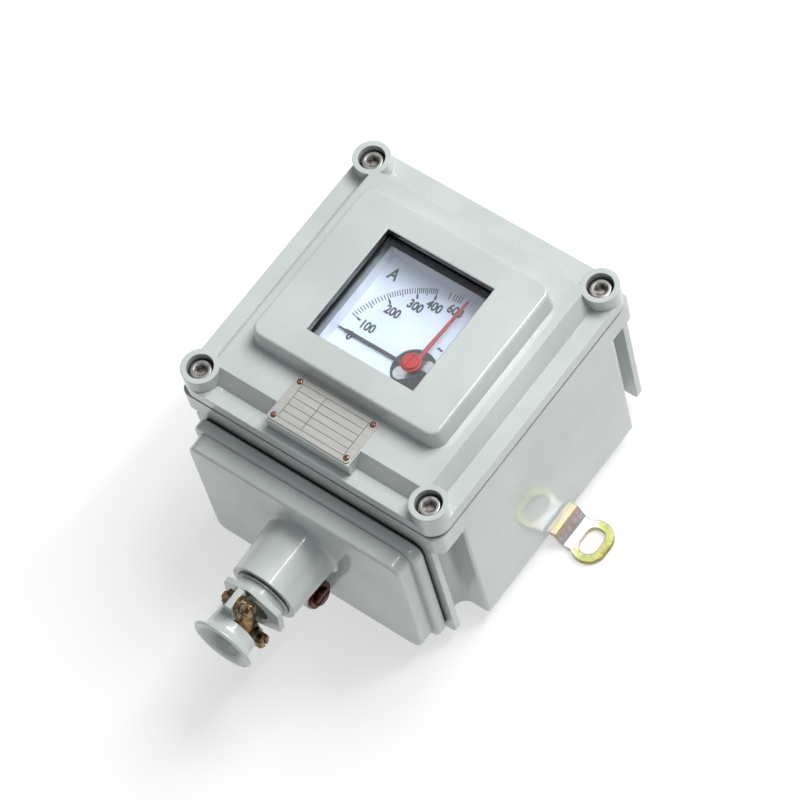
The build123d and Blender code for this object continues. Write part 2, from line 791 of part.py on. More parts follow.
# Red index pointer under the cover and its knob on top of it
index_z = mask_top_z - index_drop
index_plane = Plane(
    origin=(pivot_x, pivot_y, index_z),
    x_dir=(-math.cos(math.radians(index_rest_angle)), math.sin(math.radians(index_rest_angle)), 0),
)
with BuildPart() as index_pointer:
    with BuildSketch(index_plane):
        with Locations((index_length / 2, 0)):
            Rectangle(index_length, index_width)
        Circle(pointer_hub_diameter / 2)
    extrude(amount=index_thickness)
    with BuildSketch(Plane.XY.offset(index_z)):
        with Locations((pivot_x, pivot_y)):
            Circle(index_shaft_diameter / 2)
    extrude(amount=cover_top_z - index_z)
index_pointer.part.label = "index_pointer"

with BuildPart() as index_knob:
    with BuildSketch(Plane.XY.offset(cover_top_z + 0.1)):
        with Locations((pivot_x, pivot_y)):
            Circle(index_knob_diameter / 2)
    extrude(amount=index_knob_height)
    fillet(index_knob.edges().group_by(Axis.Z)[-1], index_knob_height * 0.4)
    with BuildSketch(index_plane.offset(cover_top_z + 0.1 + index_knob_height - index_z)):
        Rectangle(index_knob_diameter * 1.1, index_knob_slot)
    extrude(amount=-index_knob_height * 0.4, mode=Mode.SUBTRACT)
index_knob.part.label = "index_knob"

# Fixing studs of the meter with their nuts
with BuildPart() as meter_studs:
    with BuildSketch(Plane.XY.offset(cover_base_z)):
        with Locations((0, window_shift)):
            with GridLocations(stud_pitch, stud_pitch, 2, 2):
                Circle(stud_diameter / 2)
    extrude(amount=-stud_length)
meter_studs.part.label = "meter_studs"

stud_nut = hex_nut(stud_nut_across, stud_nut_height, stud_diameter + 2 * thread_play)
with BuildPart() as meter_stud_nuts:
    with Locations((0, window_shift, bracket_under_z - stud_nut_height)):
        with GridLocations(stud_pitch, stud_pitch, 2, 2):
            add(stud_nut)
meter_stud_nuts.part.label = "meter_stud_nuts"

# Steel bracket that hangs the meter on the four cast posts
with BuildPart() as meter_bracket:
    with BuildSketch(Plane.XY.offset(bracket_under_z)):
        RectangleRounded(mouth_width - 2 * bracket_play_x, mouth_height - 2 * bracket_play_y,
                         mouth_radius)
        with Locations((0, window_shift)):
            Circle(base_barrel_diameter / 2 + bracket_hole_play, mode=Mode.SUBTRACT)
            with GridLocations(stud_pitch, stud_pitch, 2, 2):
                Circle(stud_diameter / 2 + thread_play, mode=Mode.SUBTRACT)
        with GridLocations(post_pitch_x, post_pitch_y, 2, 2):
            Circle(bracket_screw_diameter / 2 + thread_play, mode=Mode.SUBTRACT)
    extrude(amount=bracket_thickness)
meter_bracket.part.label = "meter_bracket"

bracket_screw = pan_screw(bracket_screw_head, bracket_screw_head_height,
                          bracket_screw_diameter, bracket_screw_length)
with BuildPart() as bracket_screws:
    with Locations((0, 0, bracket_top_z)):
        with GridLocations(post_pitch_x, post_pitch_y, 2, 2):
            add(bracket_screw)
bracket_screws.part.label = "bracket_screws"

# Terminals on the back of the meter
with BuildPart() as meter_terminals:
    with BuildSketch(Plane.XY.offset(barrel_under_z + post_terminal_diameter)):
        with Locations((0, window_shift)):
            with GridLocations(post_terminal_pitch, 0, 2, 1):
                Circle(post_terminal_diameter / 2)
    extrude(amount=-post_terminal_diameter - post_terminal_length)
meter_terminals.part.label = "meter_terminals"

terminal_washer = flat_washer(terminal_washer_diameter, post_terminal_diameter + 0.4,
                              terminal_washer_thickness)
with BuildPart() as terminal_washers:
    with Locations((0, window_shift, barrel_under_z - terminal_washer_thickness)):
        with GridLocations(post_terminal_pitch, 0, 2, 1):
            add(terminal_washer)
terminal_washers.part.label = "terminal_washers"

terminal_nut = hex_nut(terminal_nut_across, terminal_nut_height,
                       post_terminal_diameter + 2 * thread_play)
with BuildPart() as terminal_nuts:
    with Locations((0, window_shift,
                    barrel_under_z - terminal_washer_thickness - terminal_nut_height)):
        with GridLocations(post_terminal_pitch, 0, 2, 1):
            add(terminal_nut)
terminal_nuts.part.label = "terminal_nuts"

# Terminal block on the floor for the incoming wires
with BuildPart() as terminal_block:
    with BuildSketch(Plane.XY.offset(floor_z)):
        with Locations((0, block_y)):
            RectangleRounded(block_length, block_depth, 2)
    extrude(amount=block_height)
    with BuildSketch(xz_plane(block_y, floor_z + block_height / 2)):
        with GridLocations(block_way_pitch, 0, 2, 1):
            Circle(block_way_diameter / 2)
    extrude(amount=block_depth, both=True, mode=Mode.SUBTRACT)
    with BuildSketch(Plane.XY.offset(floor_z)):
        with Locations((0, block_y)):
            with GridLocations(block_way_pitch, 0, 2, 1):
                Circle(block_screw_diameter / 2 + thread_play)
    extrude(amount=block_height, mode=Mode.SUBTRACT)
terminal_block.part.label = "terminal_block"

# Entry stack: gasket, spacer plate and cover
with BuildPart() as entry_gasket:
    gasket_height = entry_plate_top - entry_plate_bottom - 2 * entry_gasket_inset
    gasket_centre = back_z + (entry_plate_top + entry_plate_bottom) / 2
    with BuildSketch(xz_plane(-entry_face, gasket_centre)):
        RectangleRounded(entry_plate_width - 2 * entry_gasket_inset, gasket_height,
                         entry_plate_radius - entry_gasket_inset)
    extrude(amount=entry_gasket_thickness)
    with BuildSketch(xz_plane(-entry_face, gland_z)):
        RectangleRounded(entry_opening_width, entry_opening_height, mouth_radius)
        with GridLocations(entry_screw_pitch_x, entry_screw_pitch_z, 2, 2):
            Circle(entry_screw_diameter / 2 + thread_play)
    extrude(amount=entry_gasket_thickness, mode=Mode.SUBTRACT)
entry_gasket.part.label = "entry_gasket"

plate_face = -entry_face - entry_gasket_thickness
with BuildPart() as entry_plate:
    with BuildSketch(xz_plane(plate_face, back_z + (entry_plate_top + entry_plate_bottom) / 2)):
        RectangleRounded(entry_plate_width, entry_plate_top - entry_plate_bottom,
                         entry_plate_radius)
    extrude(amount=entry_plate_thickness)
    fillet(entry_plate.edges().group_by(Axis.Y)[0], entry_edge_radius)
    fillet(entry_plate.edges().group_by(Axis.Y)[-1], entry_edge_radius)
    with BuildSketch(xz_plane(plate_face, gland_z)):
        RectangleRounded(entry_opening_width, entry_opening_height, mouth_radius)
        with GridLocations(entry_screw_pitch_x, entry_screw_pitch_z, 2, 2):
            Circle(entry_screw_diameter / 2 + thread_play)
    extrude(amount=entry_plate_thickness, mode=Mode.SUBTRACT)
entry_plate.part.label = "entry_plate"

# Cover with the gland boss and the ear for the outside earth screw
cover_back = plate_face - entry_plate_thickness
cover_face = cover_back - entry_cover_thickness
gland_rim = cover_face - gland_boss_length
boss_taper = math.degrees(math.atan((boss_base_diameter - boss_rim_diameter) / 2
                                    / gland_boss_length))
earth_y = cover_face - earth_ear_reach
earth_z = back_z + earth_axis_height
with BuildPart() as entry_cover:
    with BuildSketch(xz_plane(cover_back, back_z + (entry_cover_top + entry_cover_bottom) / 2)):
        RectangleRounded(entry_cover_width, entry_cover_top - entry_cover_bottom,
                         entry_cover_radius)
    extrude(amount=entry_cover_thickness)
    fillet(entry_cover.edges().group_by(Axis.Y)[0], entry_edge_radius)
    with BuildSketch(xz_plane(cover_face, gland_z)):
        Circle(boss_base_diameter / 2)
    extrude(amount=gland_boss_length, taper=boss_taper)
    boss_foot = entry_cover.edges().filter_by(GeomType.CIRCLE).filter_by(
        lambda e: abs(e.center().Y - cover_face) < 0.01
        and abs(e.radius - boss_base_diameter / 2) < 0.01
    )
    fillet(boss_foot, boss_foot_radius)
    # Hollow behind the cover, room for the wires
    with BuildSketch(xz_plane(cover_back, gland_z)):
        RectangleRounded(entry_opening_width, entry_opening_height, mouth_radius)
    extrude(amount=entry_cover_thickness - entry_cover_wall, mode=Mode.SUBTRACT)
    # Gland bore down to its shoulder, and the cable way behind it
    with BuildSketch(xz_plane(gland_rim, gland_z)):
        Circle(gland_bore / 2)
    extrude(amount=-(gland_boss_length - gland_shoulder), mode=Mode.SUBTRACT)
    with BuildSketch(xz_plane(gland_rim, gland_z)):
        Circle(gland_shoulder_bore / 2)
    extrude(amount=-(gland_boss_length + entry_cover_thickness), mode=Mode.SUBTRACT)
    with BuildSketch(xz_plane(cover_back, gland_z)):
        with GridLocations(entry_screw_pitch_x, entry_screw_pitch_z, 2, 2):
            Circle(entry_screw_diameter / 2 + thread_play)
    extrude(amount=entry_screw_reach, mode=Mode.SUBTRACT)
    # Ear for the earth screw
    with BuildSketch(Plane(origin=(earth_ear_x, earth_y, earth_z), x_dir=(0, 1, 0),
                           z_dir=(1, 0, 0))):
        Circle(earth_ear_radius)
        with Locations((earth_ear_reach / 2, 0)):
            Rectangle(earth_ear_reach, 2 * earth_ear_radius)
    extrude(amount=earth_ear_thickness)
    with BuildSketch(Plane(origin=(earth_ear_x, earth_y, earth_z), x_dir=(0, 1, 0),
                           z_dir=(1, 0, 0))):
        Circle(earth_screw_diameter / 2 + thread_play)
    extrude(amount=earth_ear_thickness, mode=Mode.SUBTRACT)
entry_cover.part.label = "entry_cover"

# Screws that hold plate and cover, driven from inside the neck
entry_screw = socket_screw(
    entry_screw_head, entry_screw_head_height, entry_screw_diameter,
    entry_web + entry_gasket_thickness + entry_plate_thickness + entry_screw_reach - 0.5,
    socket_across * 0.8, socket_depth * 0.7)
entry_screw_plane = Plane(origin=(0, -entry_face + entry_web, gland_z), x_dir=(1, 0, 0),
                          z_dir=(0, 1, 0))
with BuildPart() as entry_screws:
    with Locations(entry_screw_plane):
        with GridLocations(entry_screw_pitch_x, entry_screw_pitch_z, 2, 2):
            add(entry_screw)
entry_screws.part.label = "entry_screws"

# Gland: rubber ring and steel washer at the bottom of the bore
shoulder_y = cover_face - gland_shoulder
with BuildPart() as seal_ring:
    with BuildSketch(xz_plane(shoulder_y, gland_z)):
        Circle(gland_bore / 2 - nut_play)
        Circle(seal_ring_bore / 2, mode=Mode.SUBTRACT)
    extrude(amount=seal_ring_length)
seal_ring.part.label = "seal_ring"

with BuildPart() as gland_washer:
    with BuildSketch(xz_plane(shoulder_y - seal_ring_length, gland_z)):
        Circle(gland_bore / 2 - nut_play)
        Circle(nut_bore / 2, mode=Mode.SUBTRACT)
    extrude(amount=gland_washer_thickness)
gland_washer.part.label = "gland_washer"

# Gland nut: threaded insert, six-sided flange, open saddle and bell mouth in one casting
nut_start = shoulder_y - seal_ring_length - gland_washer_thickness
nut_flange_y = nut_start - nut_insert_length - nut_neck_length
saddle_start = nut_flange_y - nut_flange_thickness
bell_start = saddle_start - saddle_length
bell_end = bell_start - bell_length
ear_y = saddle_start - ear_start
nut_axis = Axis((0, 0, gland_z), (0, -1, 0))
bell_profile_plane = Plane(origin=(0, 0, gland_z), x_dir=(1, 0, 0), z_dir=(0, 0, 1))
with BuildPart() as gland_nut:
    with BuildSketch(xz_plane(nut_start, gland_z)):
        Circle(gland_bore / 2 - nut_play)
    extrude(amount=nut_insert_length)
    with BuildSketch(xz_plane(nut_start - nut_insert_length, gland_z)):
        Circle(nut_neck_diameter / 2)
    extrude(amount=nut_neck_length)
    with BuildSketch(xz_plane(nut_flange_y, gland_z)) as hexagon:
        RegularPolygon(nut_flange_across / 2, 6, major_radius=False, rotation=gland_turn)
        fillet(hexagon.vertices(), nut_flange_radius)
    extrude(amount=nut_flange_thickness)
    # Half round saddle on the -X side
    with BuildSketch(xz_plane(saddle_start, gland_z)):
        Circle(saddle_outer / 2)
        with Locations((saddle_outer / 2 + clamp_offset, 0)):
            Rectangle(saddle_outer, saddle_outer * 1.2, mode=Mode.SUBTRACT)
    extrude(amount=saddle_length)
    with BuildSketch(xz_plane(ear_y, gland_z)):
        with Locations((clamp_offset - ear_thickness / 2, 0)):
            RectangleRounded(ear_thickness, 2 * ear_reach, 0.6)
    extrude(amount=ear_width)
    # Bell mouth as a turned form
    with BuildSketch(bell_profile_plane):
        with BuildLine():
            neck_r = bell_neck / 2
            rim_r = bell_mouth / 2
            l1 = Line((0, bell_start), (neck_r, bell_start))
            l2 = Line(l1 @ 1, (neck_r, bell_start - bell_length * 0.35))
            l3 = TangentArc(l2 @ 1, (rim_r - bell_rim_radius * 0.2, bell_end + bell_rim_radius),
                            tangent=(0, -1))
            l4 = ThreePointArc(l3 @ 1, (rim_r, bell_end + bell_rim_radius * 0.5),
                               (rim_r - bell_rim_radius, bell_end))
            l5 = Line(l4 @ 1, (0, bell_end))
            Line(l5 @ 1, l1 @ 0)
        make_face()
    revolve(axis=nut_axis)
    # Cable way, flared at the mouth
    with BuildSketch(bell_profile_plane):
        with BuildLine():
            bore_r = nut_bore / 2
            mouth_r = bell_mouth / 2 - bell_wall
            m1 = Line((0, nut_start + 1), (bore_r, nut_start + 1))
            m2 = Line(m1 @ 1, (bore_r, bell_start - bell_length * 0.25))
            m3 = TangentArc(m2 @ 1, (mouth_r, bell_end - 0.01), tangent=(0, -1))
            m4 = Line(m3 @ 1, (mouth_r, bell_end - 1))
            m5 = Line(m4 @ 1, (0, bell_end - 1))
            Line(m5 @ 1, m1 @ 0)
        make_face()
    revolve(axis=nut_axis, mode=Mode.SUBTRACT)
    with BuildSketch(Plane(origin=(clamp_offset - ear_thickness, ear_y - ear_width / 2, gland_z),
                           x_dir=(0, 0, 1), z_dir=(1, 0, 0))):
        with GridLocations(clamp_screw_pitch, 0, 2, 1):
            Circle(clamp_screw_diameter / 2 + thread_play)
    extrude(amount=ear_thickness, mode=Mode.SUBTRACT)
gland_nut.part.label = "gland_nut"

# Cord clamp strip with round ends, bowed towards the cable way
clamp_y = ear_y - ear_width / 2
strip_end = clamp_screw_pitch / 2 + clamp_width / 2
strip_flat = nut_bore / 2 - clamp_bow_play
with BuildPart() as cord_clamp:
    with BuildSketch(Plane(origin=(clamp_offset, clamp_y + clamp_width / 2, gland_z),
                           x_dir=(1, 0, 0), z_dir=(0, -1, 0))):
        with BuildLine():
            t = clamp_thickness
            c1 = Line((0, strip_end), (0, strip_flat))
            c2 = ThreePointArc(c1 @ 1, (-clamp_bulge, 0), (0, -strip_flat))
            c3 = Line(c2 @ 1, (0, -strip_end))
            c4 = Line(c3 @ 1, (t, -strip_end))
            c5 = Line(c4 @ 1, (t, -strip_flat))
            c6 = ThreePointArc(c5 @ 1, (t - clamp_bulge, 0), (t, strip_flat))
            c7 = Line(c6 @ 1, (t, strip_end))
            Line(c7 @ 1, c1 @ 0)
        make_face()
    extrude(amount=clamp_width)
    with BuildSketch(Plane(origin=(clamp_offset - clamp_bulge, clamp_y, gland_z),
                           x_dir=(0, 0, 1), z_dir=(1, 0, 0))):
        SlotOverall(2 * strip_end, clamp_width)
        with GridLocations(clamp_screw_pitch, 0, 2, 1):
            Circle(clamp_screw_diameter / 2 + thread_play, mode=Mode.SUBTRACT)
    extrude(amount=clamp_bulge + clamp_thickness, mode=Mode.INTERSECT)
cord_clamp.part.label = "cord_clamp"

washer_face = clamp_offset + clamp_thickness + clamp_washer_thickness
clamp_head_plane = Plane(origin=(washer_face + spring_washer_thickness, clamp_y, gland_z),
                         x_dir=(0, 0, 1), z_dir=(1, 0, 0))
clamp_screw = pan_screw(clamp_screw_head, clamp_screw_head_height, clamp_screw_diameter,
                        clamp_screw_length)
with BuildPart() as clamp_screws:
    with Locations(clamp_head_plane):
        with GridLocations(clamp_screw_pitch, 0, 2, 1):
            add(clamp_screw)
clamp_screws.part.label = "clamp_screws"

clamp_spring_washer = spring_washer(clamp_screw_head, clamp_screw_diameter + 0.2,
                                    spring_washer_thickness)
with BuildPart() as clamp_spring_washers:
    with Locations(clamp_head_plane.offset(-spring_washer_thickness)):
        with GridLocations(clamp_screw_pitch, 0, 2, 1):
            add(clamp_spring_washer)
clamp_spring_washers.part.label = "clamp_spring_washers"

with BuildPart() as clamp_washers:
    with Locations(clamp_head_plane.offset(-spring_washer_thickness - clamp_washer_thickness)):
        with GridLocations(clamp_screw_pitch, 0, 2, 1):
            add(flat_washer(clamp_washer_diameter, clamp_screw_diameter + 0.4,
                            clamp_washer_thickness))
clamp_washers.part.label = "clamp_washers"

clamp_nut = hex_nut(clamp_nut_across, clamp_nut_height, clamp_screw_diameter + 2 * thread_play)
with BuildPart() as clamp_nuts:
    with Locations(Plane(origin=(clamp_offset - ear_thickness - clamp_nut_height, clamp_y,
                                 gland_z), x_dir=(0, 0, 1), z_dir=(1, 0, 0))):
        with GridLocations(clamp_screw_pitch, 0, 2, 1):
            add(clamp_nut)
clamp_nuts.part.label = "clamp_nuts"

# Outside earth screw and its big washer
earth_seat = Plane(origin=(earth_ear_x + earth_ear_thickness, earth_y, earth_z),
                   x_dir=(0, 1, 0), z_dir=(1, 0, 0))
with BuildPart() as earth_washer:
    with Locations(earth_seat):
        add(flat_washer(earth_washer_diameter, earth_screw_diameter + 0.4,
                        earth_washer_thickness))
earth_washer.part.label = "earth_washer"

with BuildPart() as earth_screw:
    with Locations(earth_seat.offset(earth_washer_thickness)):
        add(pan_screw(earth_screw_head, earth_screw_head_height, earth_screw_diameter,
                      earth_screw_length))
earth_screw.part.label = "earth_screw"

# Inside earth screw and the fixing screws of the terminal block
with BuildPart() as inner_earth_screw:
    with Locations((inner_earth_x, block_y, floor_z + earth_boss_height)):
        add(pan_screw(bracket_screw_head, bracket_screw_head_height, block_screw_diameter,
                      earth_boss_height - 0.5))
inner_earth_screw.part.label = "inner_earth_screw"

with BuildPart() as block_screws:
    with Locations((0, block_y, floor_z + block_height)):
        with GridLocations(block_way_pitch, 0, 2, 1):
            add(pan_screw(block_screw_head, bracket_screw_head_height, block_screw_diameter,
                          block_height + block_screw_diameter - 0.5))
block_screws.part.label = "block_screws"

# Wall lugs: strip with a ring at each end and a step down to the wall
def wall_lug(side):
    """One bent lug; side is 1 for +X and -1 for -X."""
    mid = (lug_bend_start + lug_bend_end) / 2
    tip = lug_hole_x + lug_ring_end
    root = lug_screw_x - lug_ring_end
    with BuildPart() as lug:
        # Side view of the strip
        with BuildSketch(Plane.XZ.offset(-lug_ring_width / 2)):
            with BuildLine():
                Polyline(
                    (side * root, back_z),
                    (side * lug_bend_start, back_z),
                    (side * lug_bend_end, lug_thickness),
                    (side * tip, lug_thickness),
                    (side * tip, 0),
                    (side * (lug_bend_end - lug_thickness * 0.42), 0),
                    (side * (lug_bend_start - lug_thickness * 0.42), back_z - lug_thickness),
                    (side * root, back_z - lug_thickness),
                    close=True,
                )
            make_face()
        extrude(amount=lug_ring_width)
        # Plan view trims it to two rings and a waist
        with BuildSketch(Plane.XY) as plan:
            for hole_x in (lug_hole_x, lug_screw_x):
                with Locations((side * hole_x, 0)):
                    RectangleRounded(2 * lug_ring_end, lug_ring_width, lug_ring_end * 0.96)
            with Locations((side * (lug_hole_x + lug_screw_x) / 2, 0)):
                Rectangle(lug_hole_x - lug_screw_x, lug_width)
        extrude(amount=back_z, mode=Mode.INTERSECT)
        with BuildSketch(Plane.XY):
            with Locations((side * lug_hole_x, 0)):
                SlotOverall(lug_slot_length, lug_slot_width, rotation=90)
        extrude(amount=back_z, mode=Mode.SUBTRACT)
        with BuildSketch(Plane.XY):
            with Locations((side * lug_screw_x, 0)):
                Circle(lug_screw_diameter / 2 + thread_play)
        extrude(amount=back_z, mode=Mode.SUBTRACT)
    return lug.part


with BuildPart() as wall_lug_right:
    add(wall_lug(1))
wall_lug_right.part.label = "wall_lug_right"
with BuildPart() as wall_lug_left:
    add(wall_lug(-1))
wall_lug_left.part.label = "wall_lug_left"

lug_seat = Plane(origin=(0, 0, back_z - lug_thickness), x_dir=(1, 0, 0), z_dir=(0, 0, -1))
with BuildPart() as lug_washers:
    with Locations(lug_seat):
        with GridLocations(2 * lug_screw_x, 0, 2, 1):
            add(flat_washer(lug_screw_head + 1, lug_screw_diameter + 0.4, lug_washer_thickness))
lug_washers.part.label = "lug_washers"

with BuildPart() as lug_screws:
    with Locations(lug_seat.offset(lug_washer_thickness)):
        with GridLocations(2 * lug_screw_x, 0, 2, 1):
            add(pan_screw(lug_screw_head, lug_screw_head_height, lug_screw_diameter,
                          lug_washer_thickness + lug_thickness + housing_floor * 0.7))
lug_screws.part.label = "lug_screws"

sub_parts = [
    housing, lid, lid_gasket, lid_screws, lid_screw_washers,
    window_glass, glass_seal, glass_frame, glass_frame_screws, nameplate, nameplate_rivets,
    meter_cover, dial_surround, dial_plate, meter_base, coil_frame, coil, movement_bridge,
    pointer, index_pointer, index_knob, meter_studs, meter_stud_nuts, meter_bracket,
    bracket_screws, meter_terminals, terminal_washers, terminal_nuts,
    terminal_block, block_screws, inner_earth_screw,
    entry_gasket, entry_plate, entry_cover, entry_screws, seal_ring, gland_washer, gland_nut,
    cord_clamp, clamp_screws, clamp_spring_washers, clamp_washers, clamp_nuts,
    earth_washer, earth_screw,
    wall_lug_right, wall_lug_left, lug_washers, lug_screws,
]
os.makedirs("parts", exist_ok=True)
for sub_part in sub_parts:
    export_step(sub_part.part, f"parts/{sub_part.part.label}.step")
    print(sub_part.part.label, len(sub_part.part.solids()), round(sub_part.part.volume, 1))
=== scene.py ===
# %% [markdown]
# # Dressing an explosion-proof ammeter
# The object is a cast aluminium box with a screwed lid, a thick window and a pointer instrument
# behind it. Its shapes were drawn in CAD and arrive here as a finished frame. This lesson gives
# every piece the surface of the real one, prints the dial, cuts the fine threads, and lights it
# all on a pale table.

# %% Load the frame
import bpy
import bmesh
import json
import math
from mathutils import Matrix, Quaternion, Vector


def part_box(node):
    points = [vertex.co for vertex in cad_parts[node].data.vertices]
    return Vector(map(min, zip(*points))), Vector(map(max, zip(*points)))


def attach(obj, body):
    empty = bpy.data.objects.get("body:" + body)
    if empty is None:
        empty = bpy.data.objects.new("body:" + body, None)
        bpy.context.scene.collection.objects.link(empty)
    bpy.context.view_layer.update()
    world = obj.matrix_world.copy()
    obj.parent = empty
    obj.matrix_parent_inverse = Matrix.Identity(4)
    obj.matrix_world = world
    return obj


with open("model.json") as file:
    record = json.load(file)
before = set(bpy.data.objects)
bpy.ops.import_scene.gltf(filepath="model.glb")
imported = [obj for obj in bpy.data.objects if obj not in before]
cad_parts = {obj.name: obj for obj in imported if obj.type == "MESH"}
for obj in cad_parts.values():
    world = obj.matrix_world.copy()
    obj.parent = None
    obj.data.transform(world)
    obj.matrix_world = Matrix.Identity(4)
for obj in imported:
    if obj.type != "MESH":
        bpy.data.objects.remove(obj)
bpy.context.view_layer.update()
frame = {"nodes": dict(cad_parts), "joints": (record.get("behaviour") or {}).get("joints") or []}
nodes = frame["nodes"]

# %% [markdown]
# ## Millimetres and paint cards
# Blender works in metres and in linear colour. A maker thinks in millimetres and in the hex
# colours of a paint card. One number and one short function do the conversion, so that every
# size and colour below can be written as it would be on a drawing. The numbers in the function
# are those of the sRGB curve.

# %% Units and colours
MM = 0.001


def paint(code):
    """A paint card's hex code as linear red, green, blue and alpha."""
    parts = [int(code[i:i + 2], 16) / 255 for i in (1, 3, 5)]
    linear = [c / 12.92 if c <= 0.04045 else ((c + 0.055) / 1.055) ** 2.4 for c in parts]
    return (*linear, 1.0)


print("one millimetre is", MM, "m; mid grey is", round(paint("#808080")[0], 3))

# %% [markdown]
# ## One shader node at a time
# A material is a list of nodes with options, values and links, so one function adds a node with
# all of these. An input goes by its name, with an underline for a space. Where a node has more
# inputs of one name it goes by its number, and i0 is the first.

# %% Nodes and links


def set_inputs(tree, node, **inputs):
    """Gives a node's inputs their values, and links those that are given a socket."""
    for name, value in inputs.items():
        numbered = name[0] == "i" and name[1:].isdigit()
        socket = node.inputs[int(name[1:]) if numbered else name.replace("_", " ")]
        if isinstance(value, bpy.types.NodeSocket):
            tree.links.new(value, socket)
        else:
            socket.default_value = value


def add_node(tree, kind, settings=None, **inputs):
    """Adds one node. Settings are its own options, and inputs are values or sockets."""
    node = tree.nodes.new(kind)
    for name, value in (settings or {}).items():
        setattr(node, name, value)
    set_inputs(tree, node, **inputs)
    return node


print("a node takes its options, values and links in one call")

# %% [markdown]
# ## What all materials share
# Every finish starts from the Principled shader, which holds colour, metal, gloss, coat and
# glass in one node. Most finishes need a ramp that turns a noise into a range of real tones, and
# edges that aren't razor sharp. A few tenths of a millimetre of rounding are too small to model,
# but they catch the light, so that is done in the normal, with the bump laid over it.

# %% Material, ramp and edge


def new_material(name):
    """A new node material, with its tree and its shader."""
    material = bpy.data.materials.new(name)
    material.use_nodes = True
    tree = material.node_tree
    shader = tree.nodes["Principled BSDF"]
    return material, tree, shader


def colour_stops(ramp, stops):
    """Sets a colour ramp from (place, hex) pairs."""
    elements = ramp.color_ramp.elements
    while len(elements) < len(stops):
        elements.new(0.5)
    for element, (place, code) in zip(elements, stops):
        element.position = place
        element.color = paint(code)


def rounded_normal(tree, height, edge_mm, relief_mm):
    """Edges rounded in the shading by a few tenths, with a fine bump laid over them."""
    edge = add_node(tree, "ShaderNodeBevel", {"samples": 6}, Radius=edge_mm * MM)
    bump = add_node(tree, "ShaderNodeBump", Height=height, Distance=relief_mm * MM,
                    Normal=edge.outputs["Normal"])
    return bump.outputs["Normal"]


print("every finish starts from the Principled shader")

# %% [markdown]
# ## The camera
# The photograph was taken with a long lens from above the lower right corner, and the box was
# turned a little in the frame. So the camera gets a place, a point to look at and a roll about
# its own line of sight. A long lens far away keeps parallel edges nearly parallel.

# %% Camera
CAMERA_PLACE = Vector((0.77139, -0.61119, 1.72235))
CAMERA_AIM = Vector((-0.00334, -0.00924, 0.060))
CAMERA_ROLL = 17.535
LENS = 196.23
SENSOR = 36.0
NEAREST_SEEN = 0.05

camera_data = bpy.data.cameras.new("camera")
camera_data.lens = LENS
camera_data.sensor_width = SENSOR
camera_data.clip_start = NEAREST_SEEN
camera = bpy.data.objects.new("camera", camera_data)
bpy.context.scene.collection.objects.link(camera)
look = (CAMERA_AIM - CAMERA_PLACE).to_track_quat("-Z", "Y").to_matrix().to_4x4()
turn = Matrix.Rotation(math.radians(-CAMERA_ROLL), 4, "Z")
camera.matrix_world = Matrix.Translation(CAMERA_PLACE) @ look @ turn
bpy.context.scene.camera = camera
bpy.context.scene.view_settings.view_transform = "Standard"
print("camera", round((CAMERA_AIM - CAMERA_PLACE).length, 3), "m from the box")

# %% [markdown]
# ## Painted shade in joints and wells
# Deep joints and screw wells are darkened towards a dark grey in the enamel's colour: this is
# painted shade. Ambient occlusion finds those places, because it is low where walls stand close.
# So no mask has to be drawn, and a wide joint is darkened less than a narrow one.

# %% Painted shade
# Painted shade: the dark grey that joints and wells turn to, how far it reaches and how much it
# covers.
JOINT_SHADE = "#3B3638"
JOINT_SHADE_REACH_MM = 7.0
JOINT_SHADE_FULL, JOINT_SHADE_NONE = 0.12, 0.42
JOINT_SHADE_COVER = 0.85


def paint_joint_shade(tree, colour):
    """The colour, darkened as painted shade where the surface is shut in."""
    near = add_node(tree, "ShaderNodeAmbientOcclusion", {"samples": 8},
                    Distance=JOINT_SHADE_REACH_MM * MM)
    depth = add_node(tree, "ShaderNodeMapRange", Value=near.outputs["AO"], From_Min=JOINT_SHADE_FULL,
                     From_Max=JOINT_SHADE_NONE, To_Min=JOINT_SHADE_COVER, To_Max=0.0)
    joint_shaded = add_node(tree, "ShaderNodeMix", {"data_type": "RGBA"}, i0=depth.outputs["Result"],
                      i6=colour, i7=paint(JOINT_SHADE))
    return joint_shaded.outputs[2]


print("painted_shade gathers within", JOINT_SHADE_REACH_MM, "mm of a wall")

# %% [markdown]
# ## The black lining of the window
# The wall round the window opening is black. The lid is one casting, so the lining could be a
# piece of its own, but it has no thickness to show. Here the lid's enamel turns black inside a
# rectangle seen from above, which holds that wall and nothing else of the lid that shows.

# %% Lining
LINING = "#17191A"
WINDOW_WALL = ((-28.9 * MM, 28.9 * MM), (-26.2 * MM, 32.8 * MM))


def inside(tree, coordinate, low, high):
    """One where a coordinate lies between two values, zero elsewhere."""
    above = add_node(tree, "ShaderNodeMath", {"operation": "GREATER_THAN"}, i0=coordinate, i1=low)
    below = add_node(tree, "ShaderNodeMath", {"operation": "LESS_THAN"}, i0=coordinate, i1=high)
    both = add_node(tree, "ShaderNodeMath", {"operation": "MULTIPLY"},
                    i0=above.outputs["Value"], i1=below.outputs["Value"])
    return both.outputs["Value"]


def with_lining(tree, place, colour, rectangle):
    """The colour, turned black inside a rectangle given by its limits in X and Y."""
    parts = add_node(tree, "ShaderNodeSeparateXYZ", Vector=place)
    (x_low, x_high), (y_low, y_high) = rectangle
    patch = add_node(tree, "ShaderNodeMath", {"operation": "MULTIPLY"},
                     i0=inside(tree, parts.outputs["X"], x_low, x_high),
                     i1=inside(tree, parts.outputs["Y"], y_low, y_high))
    lined = add_node(tree, "ShaderNodeMix", {"data_type": "RGBA"}, i0=patch.outputs["Value"],
                     i6=colour, i7=paint(LINING))
    return lined.outputs[2]


print("lining", [round((high - low) / MM, 1) for low, high in WINDOW_WALL], "mm")

